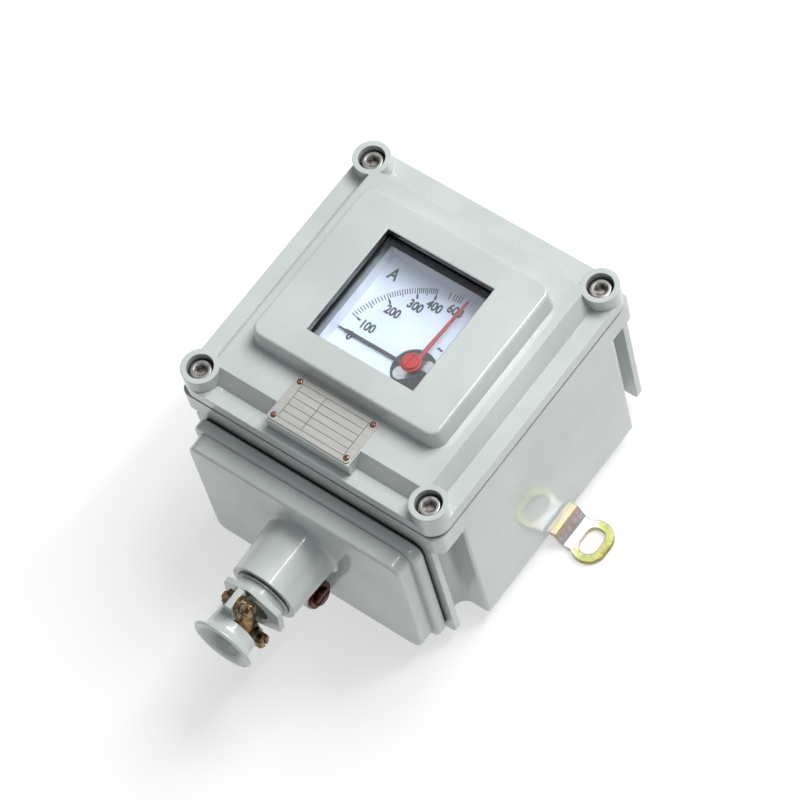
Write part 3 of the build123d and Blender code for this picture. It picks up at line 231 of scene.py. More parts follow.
# %% [markdown]
# ## Enamel on cast aluminium
# The castings are sprayed with a grey-green synthetic enamel over a sand-cast skin. Enamel is a
# dielectric with an index near 1.5. It levels out to a good gloss, but the skin below leaves
# gentle swells a centimetre wide, and the spray leaves orange peel of about a millimetre. Both
# go in as bump. A slow drift of colour and gloss keeps the large faces from looking printed,
# and a thin smooth coat over it all gives the clear reflections of a paint that has flowed.

# %% Enamel
ENAMEL_LIGHT, ENAMEL_DARK = "#C8CFCB", "#BEC5C1"
ENAMEL_GLOSS = (0.30, 0.42)
DRIFT_MM, SWELL_MM, PEEL_MM = 45.0, 9.0, 1.1
SWELL_SHARE = 6.0
CAST_EDGE_MM = 0.6
PAINT_RELIEF_MM = 0.010
COAT_WEIGHT, COAT_ROUGHNESS = 0.7, 0.03
NOISE_LOW, NOISE_HIGH = 0.3, 0.7


def make_enamel(name, black_rectangle=None):
    material, tree, shader = new_material(name)
    place = add_node(tree, "ShaderNodeTexCoord").outputs["Object"]
    drift = add_node(tree, "ShaderNodeTexNoise", Vector=place, Scale=1 / (DRIFT_MM * MM),
                     Detail=3.0)
    swell = add_node(tree, "ShaderNodeTexNoise", Vector=place, Scale=1 / (SWELL_MM * MM),
                     Detail=2.0)
    peel = add_node(tree, "ShaderNodeTexNoise", Vector=place, Scale=1 / (PEEL_MM * MM),
                    Detail=1.5, Roughness=0.4)
    tone = add_node(tree, "ShaderNodeValToRGB", Fac=drift.outputs["Fac"])
    colour_stops(tone, [(0.38, ENAMEL_DARK), (0.62, ENAMEL_LIGHT)])
    # Painted shade darkens the joints and wells.
    colour = paint_joint_shade(tree, tone.outputs["Color"])
    if black_rectangle:
        colour = with_lining(tree, place, colour, black_rectangle)
    gloss = add_node(tree, "ShaderNodeMapRange", Value=swell.outputs["Fac"], From_Min=NOISE_LOW,
                     From_Max=NOISE_HIGH, To_Min=ENAMEL_GLOSS[0], To_Max=ENAMEL_GLOSS[1])
    relief = add_node(tree, "ShaderNodeMath", {"operation": "MULTIPLY_ADD"},
                      i0=swell.outputs["Fac"], i1=SWELL_SHARE, i2=peel.outputs["Fac"])
    normal = rounded_normal(tree, relief.outputs["Value"], CAST_EDGE_MM, PAINT_RELIEF_MM)
    set_inputs(tree, shader, Base_Color=colour, Roughness=gloss.outputs["Result"],
               Normal=normal, IOR=1.5, Coat_Weight=COAT_WEIGHT, Coat_Roughness=COAT_ROUGHNESS)
    return material


enamel = make_enamel("grey_green_enamel")
lid_enamel = make_enamel("grey_green_enamel_with_black_lining", WINDOW_WALL)
print("made", enamel.name, "and", lid_enamel.name)

# %% [markdown]
# ## Yellow zinc
# The cord clamp and its screws are zinc plated and passivated with yellow chromate. The film is
# a few hundred nanometres thick and uneven, so it drifts from straw to rose to green. A colour
# ramp over slow noise says that better than any single gold. A fine grain in gloss and bump is
# the skin of the plating. A metal keeps the shader's own index, because its colour does the work.

# %% Tinted metal
GOLD_FILM = [(0.32, "#4A3D30"), (0.45, "#8F7B52"), (0.52, "#A79163"), (0.60, "#7C5549"),
             (0.70, "#5C5A42")]
GOLD_DRIFT_MM = 4.5
SKIN_GRAIN_MM = 0.35
SKIN_GLOSS = (0.24, 0.36)


def make_tinted_metal(name, stops, drift_mm):
    material, tree, shader = new_material(name)
    place = add_node(tree, "ShaderNodeTexCoord").outputs["Object"]
    film = add_node(tree, "ShaderNodeTexNoise", Vector=place, Scale=1 / (drift_mm * MM),
                    Detail=1.0, Distortion=0.3)
    grain = add_node(tree, "ShaderNodeTexNoise", Vector=place, Scale=1 / (SKIN_GRAIN_MM * MM))
    tint = add_node(tree, "ShaderNodeValToRGB", Fac=film.outputs["Fac"])
    colour_stops(tint, stops)
    gloss = add_node(tree, "ShaderNodeMapRange", Value=grain.outputs["Fac"], From_Min=NOISE_LOW,
                     From_Max=NOISE_HIGH, To_Min=SKIN_GLOSS[0], To_Max=SKIN_GLOSS[1])
    normal = rounded_normal(tree, grain.outputs["Fac"], edge_mm=0.2, relief_mm=0.003)
    set_inputs(tree, shader, Base_Color=tint.outputs["Color"], Normal=normal, Metallic=1.0,
               Roughness=gloss.outputs["Result"])
    return material


yellow_zinc = make_tinted_metal("yellow_chromate_zinc", GOLD_FILM, GOLD_DRIFT_MM)
print("made", yellow_zinc.name, "from", len(GOLD_FILM), "tints")

# %% [markdown]
# ## Brass, copper and a browned disc
# The terminals are turned from brass, the rivets and the coil are soft copper, and the disc of the
# outer earth terminal has gone brown in the air. Its tones are darker still as painted shade, for
# the shade that its face sits in. They are bare metals whose tint wanders a little, so the
# function of the zinc makes them too, from ramps of two close tones.

# %% Brass and copper
turned_brass = make_tinted_metal("turned_brass", [(0.35, "#A98A48"), (0.65, "#CDB072")],
                                 drift_mm=5.0)
copper = make_tinted_metal("soft_copper", [(0.35, "#7A5546"), (0.65, "#A87F6C")], drift_mm=1.4)
# Painted shade: the disc's two browns are darkened for the shade on its face.
brown_and_shaded_copper = make_tinted_metal("browned_copper_disc_with_painted_shade", [(0.35, "#3F1F1C"), (0.65, "#6B3B34")],
                                 drift_mm=1.2)
print("made", turned_brass.name, copper.name, brown_and_shaded_copper.name)

# %% [markdown]
# ## Bands on the wall lugs
# On the lugs the film changes its thickness along the strap, and thickness is what gives it its
# colour. So straw, rose, pale blue and green follow each other in bands from the box outwards. The
# near-white band between the first rose and the pale blue is a painted highlight.
# The ramp is read along X, and noise makes the bands sway. The cut edges are darker. They are
# found by comparing the rounded normal with the true one, which differ only near an edge.

# %% Banded zinc
# The near-white stop at 0.18 is a painted highlight; the other stops are the film's own colours.
LUG_FILM_AND_HIGHLIGHT = [(0.00, "#CFC58E"), (0.10, "#DDBCC8"), (0.18, "#E9E5E8"), (0.26, "#C0DCD7"),
            (0.34, "#DDC0CA"), (0.44, "#B9BA84"), (0.58, "#8F9B5E"), (0.74, "#A8A66E"),
            (0.88, "#8E8A4C"), (1.00, "#6E5A2E")]
LUG_RIM = "#5E5222"
STRAP_START_MM, STRAP_END_MM = 72.5, 99.5
SWAY_MM = 2.6
SWAY = 0.10
RIM_MM = 1.0
RIM_NONE, RIM_FULL = 0.99, 0.86
RIM_COVER = 0.75
LUG_GLOSS = (0.26, 0.40)


def rim_cover(tree):
    """How far the darker rim covers the face: most at an edge, nothing a millimetre away."""
    edge = add_node(tree, "ShaderNodeBevel", {"samples": 8}, Radius=RIM_MM * MM)
    face = add_node(tree, "ShaderNodeNewGeometry")
    match = add_node(tree, "ShaderNodeVectorMath", {"operation": "DOT_PRODUCT"},
                     i0=edge.outputs["Normal"], i1=face.outputs["True Normal"])
    cover = add_node(tree, "ShaderNodeMapRange", Value=match.outputs["Value"],
                     From_Min=RIM_NONE, From_Max=RIM_FULL, To_Min=0.0, To_Max=RIM_COVER)
    return cover.outputs["Result"]


def make_banded_zinc(name):
    material, tree, shader = new_material(name)
    place = add_node(tree, "ShaderNodeTexCoord").outputs["Object"]
    parts = add_node(tree, "ShaderNodeSeparateXYZ", Vector=place)
    reach = add_node(tree, "ShaderNodeMath", {"operation": "ABSOLUTE"}, i0=parts.outputs["X"])
    along = add_node(tree, "ShaderNodeMapRange", Value=reach.outputs["Value"],
                     From_Min=STRAP_START_MM * MM, From_Max=STRAP_END_MM * MM)
    drift = add_node(tree, "ShaderNodeTexNoise", Vector=place, Scale=1 / (SWAY_MM * MM),
                     Detail=4.0, Distortion=0.8)
    sway = add_node(tree, "ShaderNodeMapRange", Value=drift.outputs["Fac"], From_Min=NOISE_LOW,
                    From_Max=NOISE_HIGH, To_Min=-SWAY, To_Max=SWAY)
    film = add_node(tree, "ShaderNodeMath", {"operation": "ADD", "use_clamp": True},
                    i0=along.outputs["Result"], i1=sway.outputs["Result"])
    tint = add_node(tree, "ShaderNodeValToRGB", Fac=film.outputs["Value"])
    colour_stops(tint, LUG_FILM_AND_HIGHLIGHT)
    colour = add_node(tree, "ShaderNodeMix", {"data_type": "RGBA"}, i0=rim_cover(tree),
                      i6=tint.outputs["Color"], i7=paint(LUG_RIM))
    gloss = add_node(tree, "ShaderNodeMapRange", Value=drift.outputs["Fac"], From_Min=NOISE_LOW,
                     From_Max=NOISE_HIGH, To_Min=LUG_GLOSS[0], To_Max=LUG_GLOSS[1])
    normal = rounded_normal(tree, drift.outputs["Fac"], edge_mm=0.4, relief_mm=0.02)
    set_inputs(tree, shader, Base_Color=colour.outputs[2], Normal=normal, Metallic=0.85,
               Roughness=gloss.outputs["Result"])
    return material


banded_zinc = make_banded_zinc("banded_chromate_zinc_with_painted_highlight")
print("made", banded_zinc.name, "with", len(LUG_FILM_AND_HIGHLIGHT), "tints in its bands")

# %% [markdown]
# ## Plain steel, nickel and a dark thread
# The lid screws are bare turned steel, and their sockets are darkened in brown as painted shade.
# Here the ambient occlusion looks only at the piece itself, so that a screw isn't darkened just
# because it stands in a well. The strip of the movement is nickel plated, which is lighter and
# smoother, and the gland's thread is steel in dark tones, with the same painted shade in its
# groove.

# %% Steel
STEEL_MOTTLE_MM, STEEL_GRAIN_MM = 2.5, 0.25
SOCKET_SHADE_REACH_MM = 2.5
SOCKET_SHADE_FULL, SOCKET_SHADE_NONE = 0.25, 0.75


def make_steel(name, dark, light, recess_shade, rough):
    material, tree, shader = new_material(name)
    place = add_node(tree, "ShaderNodeTexCoord").outputs["Object"]
    mottling = add_node(tree, "ShaderNodeTexNoise", Vector=place,
                        Scale=1 / (STEEL_MOTTLE_MM * MM), Detail=4.0)
    grain = add_node(tree, "ShaderNodeTexNoise", Vector=place, Scale=1 / (STEEL_GRAIN_MM * MM))
    tone = add_node(tree, "ShaderNodeValToRGB", Fac=mottling.outputs["Fac"])
    colour_stops(tone, [(0.35, dark), (0.65, light)])
    # Painted shade: the piece's own hollows turn to the recess shade colour.
    corner = add_node(tree, "ShaderNodeAmbientOcclusion", {"samples": 6, "only_local": True},
                      Distance=SOCKET_SHADE_REACH_MM * MM)
    socket_shade = add_node(tree, "ShaderNodeMapRange", Value=corner.outputs["AO"], From_Min=SOCKET_SHADE_FULL,
                     From_Max=SOCKET_SHADE_NONE, To_Min=1.0, To_Max=0.0)
    colour = add_node(tree, "ShaderNodeMix", {"data_type": "RGBA"}, i0=socket_shade.outputs["Result"],
                      i6=tone.outputs["Color"], i7=paint(recess_shade))
    normal = rounded_normal(tree, grain.outputs["Fac"], edge_mm=0.25, relief_mm=0.008)
    set_inputs(tree, shader, Base_Color=colour.outputs[2], Normal=normal, Metallic=1.0,
               Roughness=rough)
    return material


bare_steel = make_steel("bare_turned_steel", "#8F8E8A", "#B9B8B3", recess_shade="#6A4A36", rough=0.32)
bright_nickel = make_steel("nickel_plated_strip", "#C9CBCB", "#E2E3E2", recess_shade="#77736C",
                           rough=0.22)
dark_thread_steel = make_steel("dark_steel_thread", "#3A3634", "#77736E", recess_shade="#1E1B1A",
                          rough=0.38)
print("made", bare_steel.name, bright_nickel.name, dark_thread_steel.name)

# %% [markdown]
# ## Rubber and moulded plastics
# Moulded parts differ mostly in gloss. Rubber is nearly matt with fine pits. The white dial
# surround is ABS with a satin face, the bases of meter and terminals are phenolic and urea,
# which shine a little, and the red index parts are a glossy polystyrene. One function makes them
# all: a base colour with slight mottling, a roughness, a fine bump and the index of the plastic.

# %% Moulded materials
MOULD_MOTTLE_MM = 12.0


def make_moulded(name, light, dark, rough, pit_mm, relief_mm, index=1.5):
    material, tree, shader = new_material(name)
    place = add_node(tree, "ShaderNodeTexCoord").outputs["Object"]
    mottling = add_node(tree, "ShaderNodeTexNoise", Vector=place,
                        Scale=1 / (MOULD_MOTTLE_MM * MM), Detail=4.0)
    pit = add_node(tree, "ShaderNodeTexNoise", Vector=place, Scale=1 / (pit_mm * MM), Detail=2.0)
    tone = add_node(tree, "ShaderNodeValToRGB", Fac=mottling.outputs["Fac"])
    colour_stops(tone, [(0.35, dark), (0.65, light)])
    normal = rounded_normal(tree, pit.outputs["Fac"], edge_mm=0.2, relief_mm=relief_mm)
    set_inputs(tree, shader, Base_Color=tone.outputs["Color"], Normal=normal, Roughness=rough,
               IOR=index)
    return material


black_rubber = make_moulded("black_nitrile_rubber", "#1D1D1E", "#121213", rough=0.72,
                            pit_mm=0.4, relief_mm=0.03)
white_abs = make_moulded("white_abs", "#E9EDF0", "#DEE3E7", rough=0.38, pit_mm=0.5,
                         relief_mm=0.01, index=1.54)
black_phenolic = make_moulded("black_phenolic", "#191817", "#100F0F", rough=0.35, pit_mm=0.4,
                              relief_mm=0.01, index=1.6)
cream_urea = make_moulded("cream_urea", "#D9D2C2", "#CCC4B2", rough=0.4, pit_mm=0.4,
                          relief_mm=0.01, index=1.55)
red_styrene = make_moulded("red_polystyrene", "#C4281C", "#A91D15", rough=0.25, pit_mm=0.5,
                           relief_mm=0.004, index=1.59)
print("made", black_rubber.name, white_abs.name, cream_urea.name, red_styrene.name)

# %% [markdown]
# ## Lacquer and printing ink
# The dial is sheet metal under white lacquer with a dull face, so that it doesn't glare. Its
# print is a matt black ink, the nameplate's is grey, and the pointer has a black lacquer with a
# little more shine. Sprayed and printed films are smoother than mouldings, so the same function
# makes them with finer pits and less relief.

# %% Lacquer and ink
dial_enamel = make_moulded("white_dial_lacquer", "#E0E6F0", "#D9E0EB", rough=0.5, pit_mm=0.3,
                           relief_mm=0.006)
dial_ink = make_moulded("black_dial_ink", "#1A1B1F", "#141519", rough=0.55, pit_mm=0.3,
                        relief_mm=0.002)
grey_ink = make_moulded("grey_printing_ink", "#7E7B78", "#6E6B69", rough=0.55, pit_mm=0.3,
                        relief_mm=0.002)
pointer_lacquer = make_moulded("black_pointer_lacquer", "#17181B", "#101113", rough=0.4,
                               pit_mm=0.3, relief_mm=0.004)
print("made", dial_enamel.name, dial_ink.name, grey_ink.name, pointer_lacquer.name)

# %% [markdown]
# ## Satin aluminium for the nameplate
# The nameplate is a stamped sheet with a brushed face. Brushing is a noise stretched fifty times
# along one direction. It is drawn at about a third of a millimetre, coarser than the real one,
# so that it still shows in a picture of the whole box. The sheet has dulled, so it is less than
# fully metallic.

# %% Brushed aluminium
BRUSH_MM = 0.35
BRUSH_STRETCH = 50


def make_brushed(name, light, dark):
    material, tree, shader = new_material(name)
    place = add_node(tree, "ShaderNodeTexCoord").outputs["Object"]
    stretch = add_node(tree, "ShaderNodeMapping", Vector=place,
                       Scale=(1 / BRUSH_STRETCH, 1.0, 1.0))
    brush = add_node(tree, "ShaderNodeTexNoise", Vector=stretch.outputs["Vector"],
                     Scale=1 / (BRUSH_MM * MM), Detail=3.0)
    tone = add_node(tree, "ShaderNodeValToRGB", Fac=brush.outputs["Fac"])
    colour_stops(tone, [(0.3, dark), (0.7, light)])
    normal = rounded_normal(tree, brush.outputs["Fac"], edge_mm=0.15, relief_mm=0.008)
    set_inputs(tree, shader, Base_Color=tone.outputs["Color"], Normal=normal, Metallic=0.6,
               Roughness=0.45)
    return material


satin_aluminium = make_brushed("satin_aluminium", "#BFBEB8", "#ACABA4")
print("made", satin_aluminium.name)

# %% [markdown]
# ## Glass and clear plastic
# The window is 6 mm float glass, and the meter has a clear moulded cover. Both refract. A ray
# tracer would also make them throw a dark shadow on the dial, because it can't find a lamp
# through two refracting layers. So for shadow rays each one becomes a tinted clear pane, which
# depends on the kind of ray and not on the camera. The lamps' light reaches the dial through
# these panes, and so that it counts once, the lamps below are hidden from refracted rays.

# %% Clear materials


def make_clear(name, tint, pane_tint, index, rough):
    material, tree, shader = new_material(name)
    set_inputs(tree, shader, Base_Color=paint(tint), Roughness=rough, IOR=index,
               Transmission_Weight=1.0)
    pane = add_node(tree, "ShaderNodeBsdfTransparent", Color=paint(pane_tint))
    kind = add_node(tree, "ShaderNodeLightPath")
    both = add_node(tree, "ShaderNodeMixShader", Fac=kind.outputs["Is Shadow Ray"],
                    i1=shader.outputs["BSDF"], i2=pane.outputs["BSDF"])
    set_inputs(tree, tree.nodes["Material Output"], Surface=both.outputs["Shader"])
    return material


float_glass = make_clear("float_glass", "#F8FBFC", pane_tint="#E8EAEC", index=1.52, rough=0.0)
clear_acrylic = make_clear("clear_acrylic", "#FBFCFF", pane_tint="#EEF0F3", index=1.49, rough=0.01)
print("made", float_glass.name, clear_acrylic.name)

# %% [markdown]
# ## Dress the CAD nodes
# Each CAD node keeps its shape and gets its finish by name. The lists below read like a parts
# list sorted by finish.

# %% Finishes by node
FINISHES = [
    (enamel, ["housing", "entry_plate", "entry_cover", "gland_nut"]),
    (lid_enamel, ["lid"]),
    (black_rubber, ["lid_gasket", "glass_seal", "entry_gasket", "seal_ring"]),
    (bare_steel, ["lid_screws", "lid_screw_washers", "glass_frame", "glass_frame_screws",
                  "meter_studs", "meter_stud_nuts", "meter_bracket", "bracket_screws",
                  "block_screws", "entry_screws", "gland_washer", "clamp_spring_washers",
                  "lug_washers", "lug_screws"]),
    (yellow_zinc, ["cord_clamp", "clamp_screws", "clamp_washers", "clamp_nuts",
                   "inner_earth_screw"]),
    (banded_zinc, ["wall_lug_right", "wall_lug_left"]),
    (turned_brass, ["meter_terminals", "terminal_washers", "terminal_nuts"]),
    (copper, ["nameplate_rivets", "coil"]),
    (brown_and_shaded_copper, ["earth_washer", "earth_screw"]),
    (satin_aluminium, ["nameplate"]),
    (bright_nickel, ["movement_bridge"]),
    (black_phenolic, ["meter_base", "coil_frame"]),
    (white_abs, ["dial_surround"]),
    (dial_enamel, ["dial_plate"]),
    (pointer_lacquer, ["pointer"]),
    (red_styrene, ["index_pointer", "index_knob"]),
    (cream_urea, ["terminal_block"]),
    (float_glass, ["window_glass"]),
    (clear_acrylic, ["meter_cover"]),
]

for material, names in FINISHES:
    for name in names:
        mesh = nodes[name].data
        mesh.materials.clear()
        mesh.materials.append(material)
dressed = {name for material, names in FINISHES for name in names}
print("dressed", len(dressed), "nodes; left bare:", sorted(set(nodes) - dressed))

# %% [markdown]
# ## Smooth curves, crisp edges
# The model arrives as triangles whose corners aren't shared. Two modifiers put that right and
# leave the mesh itself alone. Weld joins corners that lie in one place. A small geometry node
# group then shades every face smooth, and marks an edge sharp again where its two faces meet at
# more than thirty degrees. So a bored hole is round and a machined edge is crisp.

# %% Shade by angle
SMOOTH_ANGLE = math.radians(30)
WELD_MM = 0.002
by_angle = bpy.data.node_groups.new("shade_by_angle", "GeometryNodeTree")
by_angle.interface.new_socket("Geometry", in_out="INPUT", socket_type="NodeSocketGeometry")
by_angle.interface.new_socket("Geometry", in_out="OUTPUT", socket_type="NodeSocketGeometry")
source = add_node(by_angle, "NodeGroupInput")
smooth = add_node(by_angle, "GeometryNodeSetShadeSmooth", {"domain": "FACE"},
                  Geometry=source.outputs["Geometry"], Shade_Smooth=True)
bend = add_node(by_angle, "GeometryNodeInputMeshEdgeAngle")
gentle = add_node(by_angle, "FunctionNodeCompare", {"operation": "LESS_THAN"},
                  i0=bend.outputs["Unsigned Angle"], i1=SMOOTH_ANGLE)
edges = add_node(by_angle, "GeometryNodeSetShadeSmooth", {"domain": "EDGE"},
                 Geometry=smooth.outputs["Geometry"], Shade_Smooth=gentle.outputs["Result"])
add_node(by_angle, "NodeGroupOutput", Geometry=edges.outputs["Geometry"])


def shade_by_angle(obj):
    weld = obj.modifiers.new("weld", "WELD")
    weld.merge_threshold = WELD_MM * MM
    obj.modifiers.new("shade_by_angle", "NODES").node_group = by_angle


for name in sorted(dressed):
    shade_by_angle(nodes[name])
print("shaded", len(dressed), "nodes")

# %% [markdown]
# ## Places on the dial
# A dial is laid out from its pivot, so all its places are a radius and an angle, counted from
# the pointer's rest, where it points to the left. The pivot comes from the needle's joint and
# the height from the dial plate, so the print can't leave the plate it is printed on.

# %% Dial layout
needle_joint = next(j for j in frame["joints"] if j["name"] == "needle_turn")
PIVOT = Vector(needle_joint["pos_m"])
dial_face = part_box("dial_plate")[1].z


def on_dial(radius_mm, degrees):
    """A point on the dial, by radius and by angle from the pointer's rest."""
    a = math.radians(degrees)
    return Vector((PIVOT.x - math.cos(a) * radius_mm * MM, PIVOT.y + math.sin(a) * radius_mm * MM,
                   dial_face))


print("pivot at", [round(v / MM, 1) for v in PIVOT], "mm, dial face at", round(dial_face / MM, 1))

# %% [markdown]
# ## From points to a piece
# Most small pieces below are rings of points with a skin between them, as a boat's hull is laid
# over its ribs. One function makes that skin. Another turns the mesh into a piece with its
# material and the body that it rides on.

# %% Skin and piece


def loft(mesh, sections, closed=False):
    """Joins rings of points by a skin, which ends in two caps or runs round into itself."""
    following = sections[1:] + sections[:1] if closed else sections[1:]
    for near, far in zip(sections, following):
        for i in range(len(near)):
            k = (i + 1) % len(near)
            mesh.faces.new((near[i], near[k], far[k], far[i]))
    if not closed:
        mesh.faces.new(sections[0][::-1])
        mesh.faces.new(sections[-1])


def finish_mesh(mesh, name, material, body):
    """Turns a bmesh into a piece that rides on a body."""
    bmesh.ops.recalc_face_normals(mesh, faces=mesh.faces)
    data = bpy.data.meshes.new(name)
    mesh.to_mesh(data)
    mesh.free()
    data.materials.append(material)
    piece = bpy.data.objects.new(name, data)
    bpy.context.scene.collection.objects.link(piece)
    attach(piece, body)
    print(name, "has", len(data.polygons), "faces and rides on", body)
    return piece


# %% [markdown]
# ## The dial's scale
# The dial is printed in black on white lacquer. Its scale is a moving-iron one: cramped at the
# bottom and open in the middle. A printed line has almost no height, so each tick is a flat box
# two hundredths of a millimetre thick, just clear of the lacquer, and all are in one mesh.

# %% Dial scale
INK_MM = 0.02
INK_GAP_MM = 0.01
TICK_OUTER, TICK_FINE, TICK_MIDDLE = 41.2, 38.4, 37.4
MAJOR_OUTER, MAJOR_INNER = 37.8, 35.6
FINE_WIDTH, MAJOR_WIDTH = 0.44, 0.95
SCALE_ANGLES = {0: 0.0, 100: 12.2, 200: 36.7, 300: 55.9, 400: 68.6, 600: 90.0}
FINE_STEPS = {200: 12, 300: 12, 400: 10}
TOP_ANGLES = [77.4, 80.4, 82.2, 84.0, 85.8]


def add_ink(mesh, corners, gap_mm):
    """Ink as a thin closed box over four corners, a hair above what it is printed on."""
    bottom = [mesh.verts.new(corner + Vector((0, 0, gap_mm * MM))) for corner in corners]
    top = [mesh.verts.new(vert.co + Vector((0, 0, INK_MM * MM))) for vert in bottom]
    loft(mesh, [bottom, top])


def add_tick(mesh, inner_mm, outer_mm, degrees, width_mm):
    """One printed line along a radius of the dial."""
    start, end = on_dial(inner_mm, degrees), on_dial(outer_mm, degrees)
    side = (end - start).cross(Vector((0, 0, 1))).normalized() * width_mm * MM / 2
    add_ink(mesh, [start + side, end + side, end - side, start - side], INK_GAP_MM)


scale_mesh = bmesh.new()
values = sorted(SCALE_ANGLES)
for low_value, high_value in zip(values, values[1:]):
    span = SCALE_ANGLES[high_value] - SCALE_ANGLES[low_value]
    steps = FINE_STEPS.get(high_value, 1)
    for step in range(1, steps):
        inner = TICK_MIDDLE if step * 2 == steps else TICK_FINE
        degrees = SCALE_ANGLES[low_value] + span * step / steps
        add_tick(scale_mesh, inner, TICK_OUTER, degrees, FINE_WIDTH)
for degrees in TOP_ANGLES:
    add_tick(scale_mesh, TICK_MIDDLE, TICK_OUTER, degrees, FINE_WIDTH)
for value in values:
    add_tick(scale_mesh, TICK_MIDDLE, TICK_OUTER, SCALE_ANGLES[value], FINE_WIDTH)
    add_tick(scale_mesh, MAJOR_INNER, MAJOR_OUTER, SCALE_ANGLES[value], MAJOR_WIDTH)
finish_mesh(scale_mesh, "dial_scale", dial_ink, "box")

# %% [markdown]
# ## The dial's numbers
# Numbers are text objects, set upright whatever their place on the arc, as on most small panel
# meters. A text object is a curve with a fill, so a hair of extrusion makes it a printed form.
# The default typeface is wide and light. It is narrowed, and a small offset with a smaller
# bevel thickens its strokes: more offset than this would break the closed loop of the 6.

# %% Dial numbers
NUMBER_SIZE, UNIT_SIZE = 6.2, 8.4
NARROW = 0.80
BOLD_MM, ROUND_MM = 0.15, 0.07
NUMBERS = [("0", 34.3, -2.0), ("100", 31.0, 12.3), ("200", 31.3, 36.0), ("300", 31.8, 54.5),
           ("400", 32.1, 69.8), ("600", 33.2, 86.6)]
UNIT_X, UNIT_Y = -21.6, 22.6
CURRENT_X, CURRENT_Y = 18.4, 3.3


def add_label(name, text, place, size_mm):
    curve = bpy.data.curves.new(name, "FONT")
    curve.body = text
    curve.size = size_mm * MM
    curve.align_x = "CENTER"
    curve.align_y = "CENTER"
    curve.extrude = INK_MM * MM / 2
    curve.offset = BOLD_MM * MM
    curve.bevel_depth = ROUND_MM * MM
    curve.materials.append(dial_ink)
    label = bpy.data.objects.new(name, curve)
    bpy.context.scene.collection.objects.link(label)
    label.location = place + Vector((0, 0, (INK_GAP_MM + INK_MM / 2 + ROUND_MM) * MM))
    label.scale.x = NARROW
    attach(label, "box")


for text, radius, degrees in NUMBERS:
    add_label("dial_number_" + text, text, on_dial(radius, degrees), NUMBER_SIZE)
add_label("dial_unit", "A", Vector((UNIT_X * MM, UNIT_Y * MM, dial_face)), UNIT_SIZE)
add_label("dial_current_kind", "~", Vector((CURRENT_X * MM, CURRENT_Y * MM, dial_face)),
          NUMBER_SIZE)
print("numbers:", len(NUMBERS), "with the unit and the sign for alternating current")

# %% [markdown]
# ## The body of the measuring pointer
# The CAD pointer is the thin strip that a works drawing would show. The real one is pressed
# tube: a fuller bar over most of its length that ends in a short fine tip. So a slim closed bar
# is laid round the strip, a little wider than the strip and rounded along its top, and it rides
# on the needle. A station is a distance from the pivot and a share of the full size. A point of
# the section is a share of the width and a height in millimetres.

# %% Pointer bar
BAR_WIDTH = 2.9
BAR_GAP_MM = 0.05
BAR_STATIONS = [(6.5, 0.9), (7.5, 1.0), (32.7, 1.0), (34.3, 0.45)]
BAR_SECTION = [(0.5, 0.0), (0.5, 0.45), (0.36, 0.72), (0.12, 0.85), (-0.12, 0.85), (-0.36, 0.72),
               (-0.5, 0.45), (-0.5, 0.0)]
bar_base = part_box("pointer")[0].z + BAR_GAP_MM * MM
bar_mesh = bmesh.new()
bar_sections = [[bar_mesh.verts.new((PIVOT.x - reach * MM,
                                     PIVOT.y + across * BAR_WIDTH * share * MM,
                                     bar_base + rise * share * MM))
                 for across, rise in BAR_SECTION]
                for reach, share in BAR_STATIONS]
loft(bar_mesh, bar_sections)
pointer_bar = finish_mesh(bar_mesh, "pointer_bar", pointer_lacquer, "needle")
shade_by_angle(pointer_bar)

# %% [markdown]
# ## The blade of the index pointer
# The red index pointer is a flat moulded blade, wide at its hub and narrower towards its end.
# It is a tapered closed strip over the thin CAD one, with its upper edges cut off at a slant,
# and it rides on the index. A station is a distance from the pivot and a half width. A point of
# the section is a share of that half width and a share of the height.

# %% Index blade
BLADE_STATIONS = [(3.4, 1.15), (8.0, 1.0), (36.5, 0.62), (38.3, 0.35)]
BLADE_SECTION = [(1.0, 0.0), (1.0, 0.7), (0.7, 1.0), (-0.7, 1.0), (-1.0, 0.7), (-1.0, 0.0)]
BLADE_HEIGHT = 0.72
BLADE_GAP_MM = 0.02
INDEX_REST = math.radians(92.5)
blade_way = Vector((-math.cos(INDEX_REST), math.sin(INDEX_REST), 0))
blade_side = Vector((-blade_way.y, blade_way.x, 0))
blade_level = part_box("index_pointer")[0].z + BLADE_GAP_MM * MM
blade_mesh = bmesh.new()
blade_sections = []
for reach, half_width in BLADE_STATIONS:
    centre = Vector((PIVOT.x, PIVOT.y, blade_level)) + blade_way * reach * MM
    blade_sections.append([
        blade_mesh.verts.new(centre + blade_side * half_width * side * MM
                             + Vector((0, 0, rise * BLADE_HEIGHT * MM)))
        for side, rise in BLADE_SECTION])
loft(blade_mesh, blade_sections)
finish_mesh(blade_mesh, "index_blade", red_styrene, "index")

# %% [markdown]
# ## A ruled form on the nameplate
# A nameplate carries a printed form with rows to fill in. Here it stays blank: a thin frame and
# a few ruled rows in grey ink, laid on the sheet as flat boxes in one mesh, like the dial's
# lines. Nothing is written on it.

# %% Ruled form
FORM_SIDE_MM, FORM_END_MM = 4.2, 2.6
FORM_ROWS = 5
FORM_COLUMN = 0.36
FORM_GAP_MM = 0.005
RULE_MM = 0.35
plate_low, plate_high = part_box("nameplate")
form_mesh = bmesh.new()


def add_rule(mesh, x_low, x_high, y_low, y_high):
    """One ruled line on the nameplate, given by its four sides."""
    outline = [(x_low, y_low), (x_high, y_low), (x_high, y_high), (x_low, y_high)]
    add_ink(mesh, [Vector((x, y, plate_high.z)) for x, y in outline], FORM_GAP_MM)


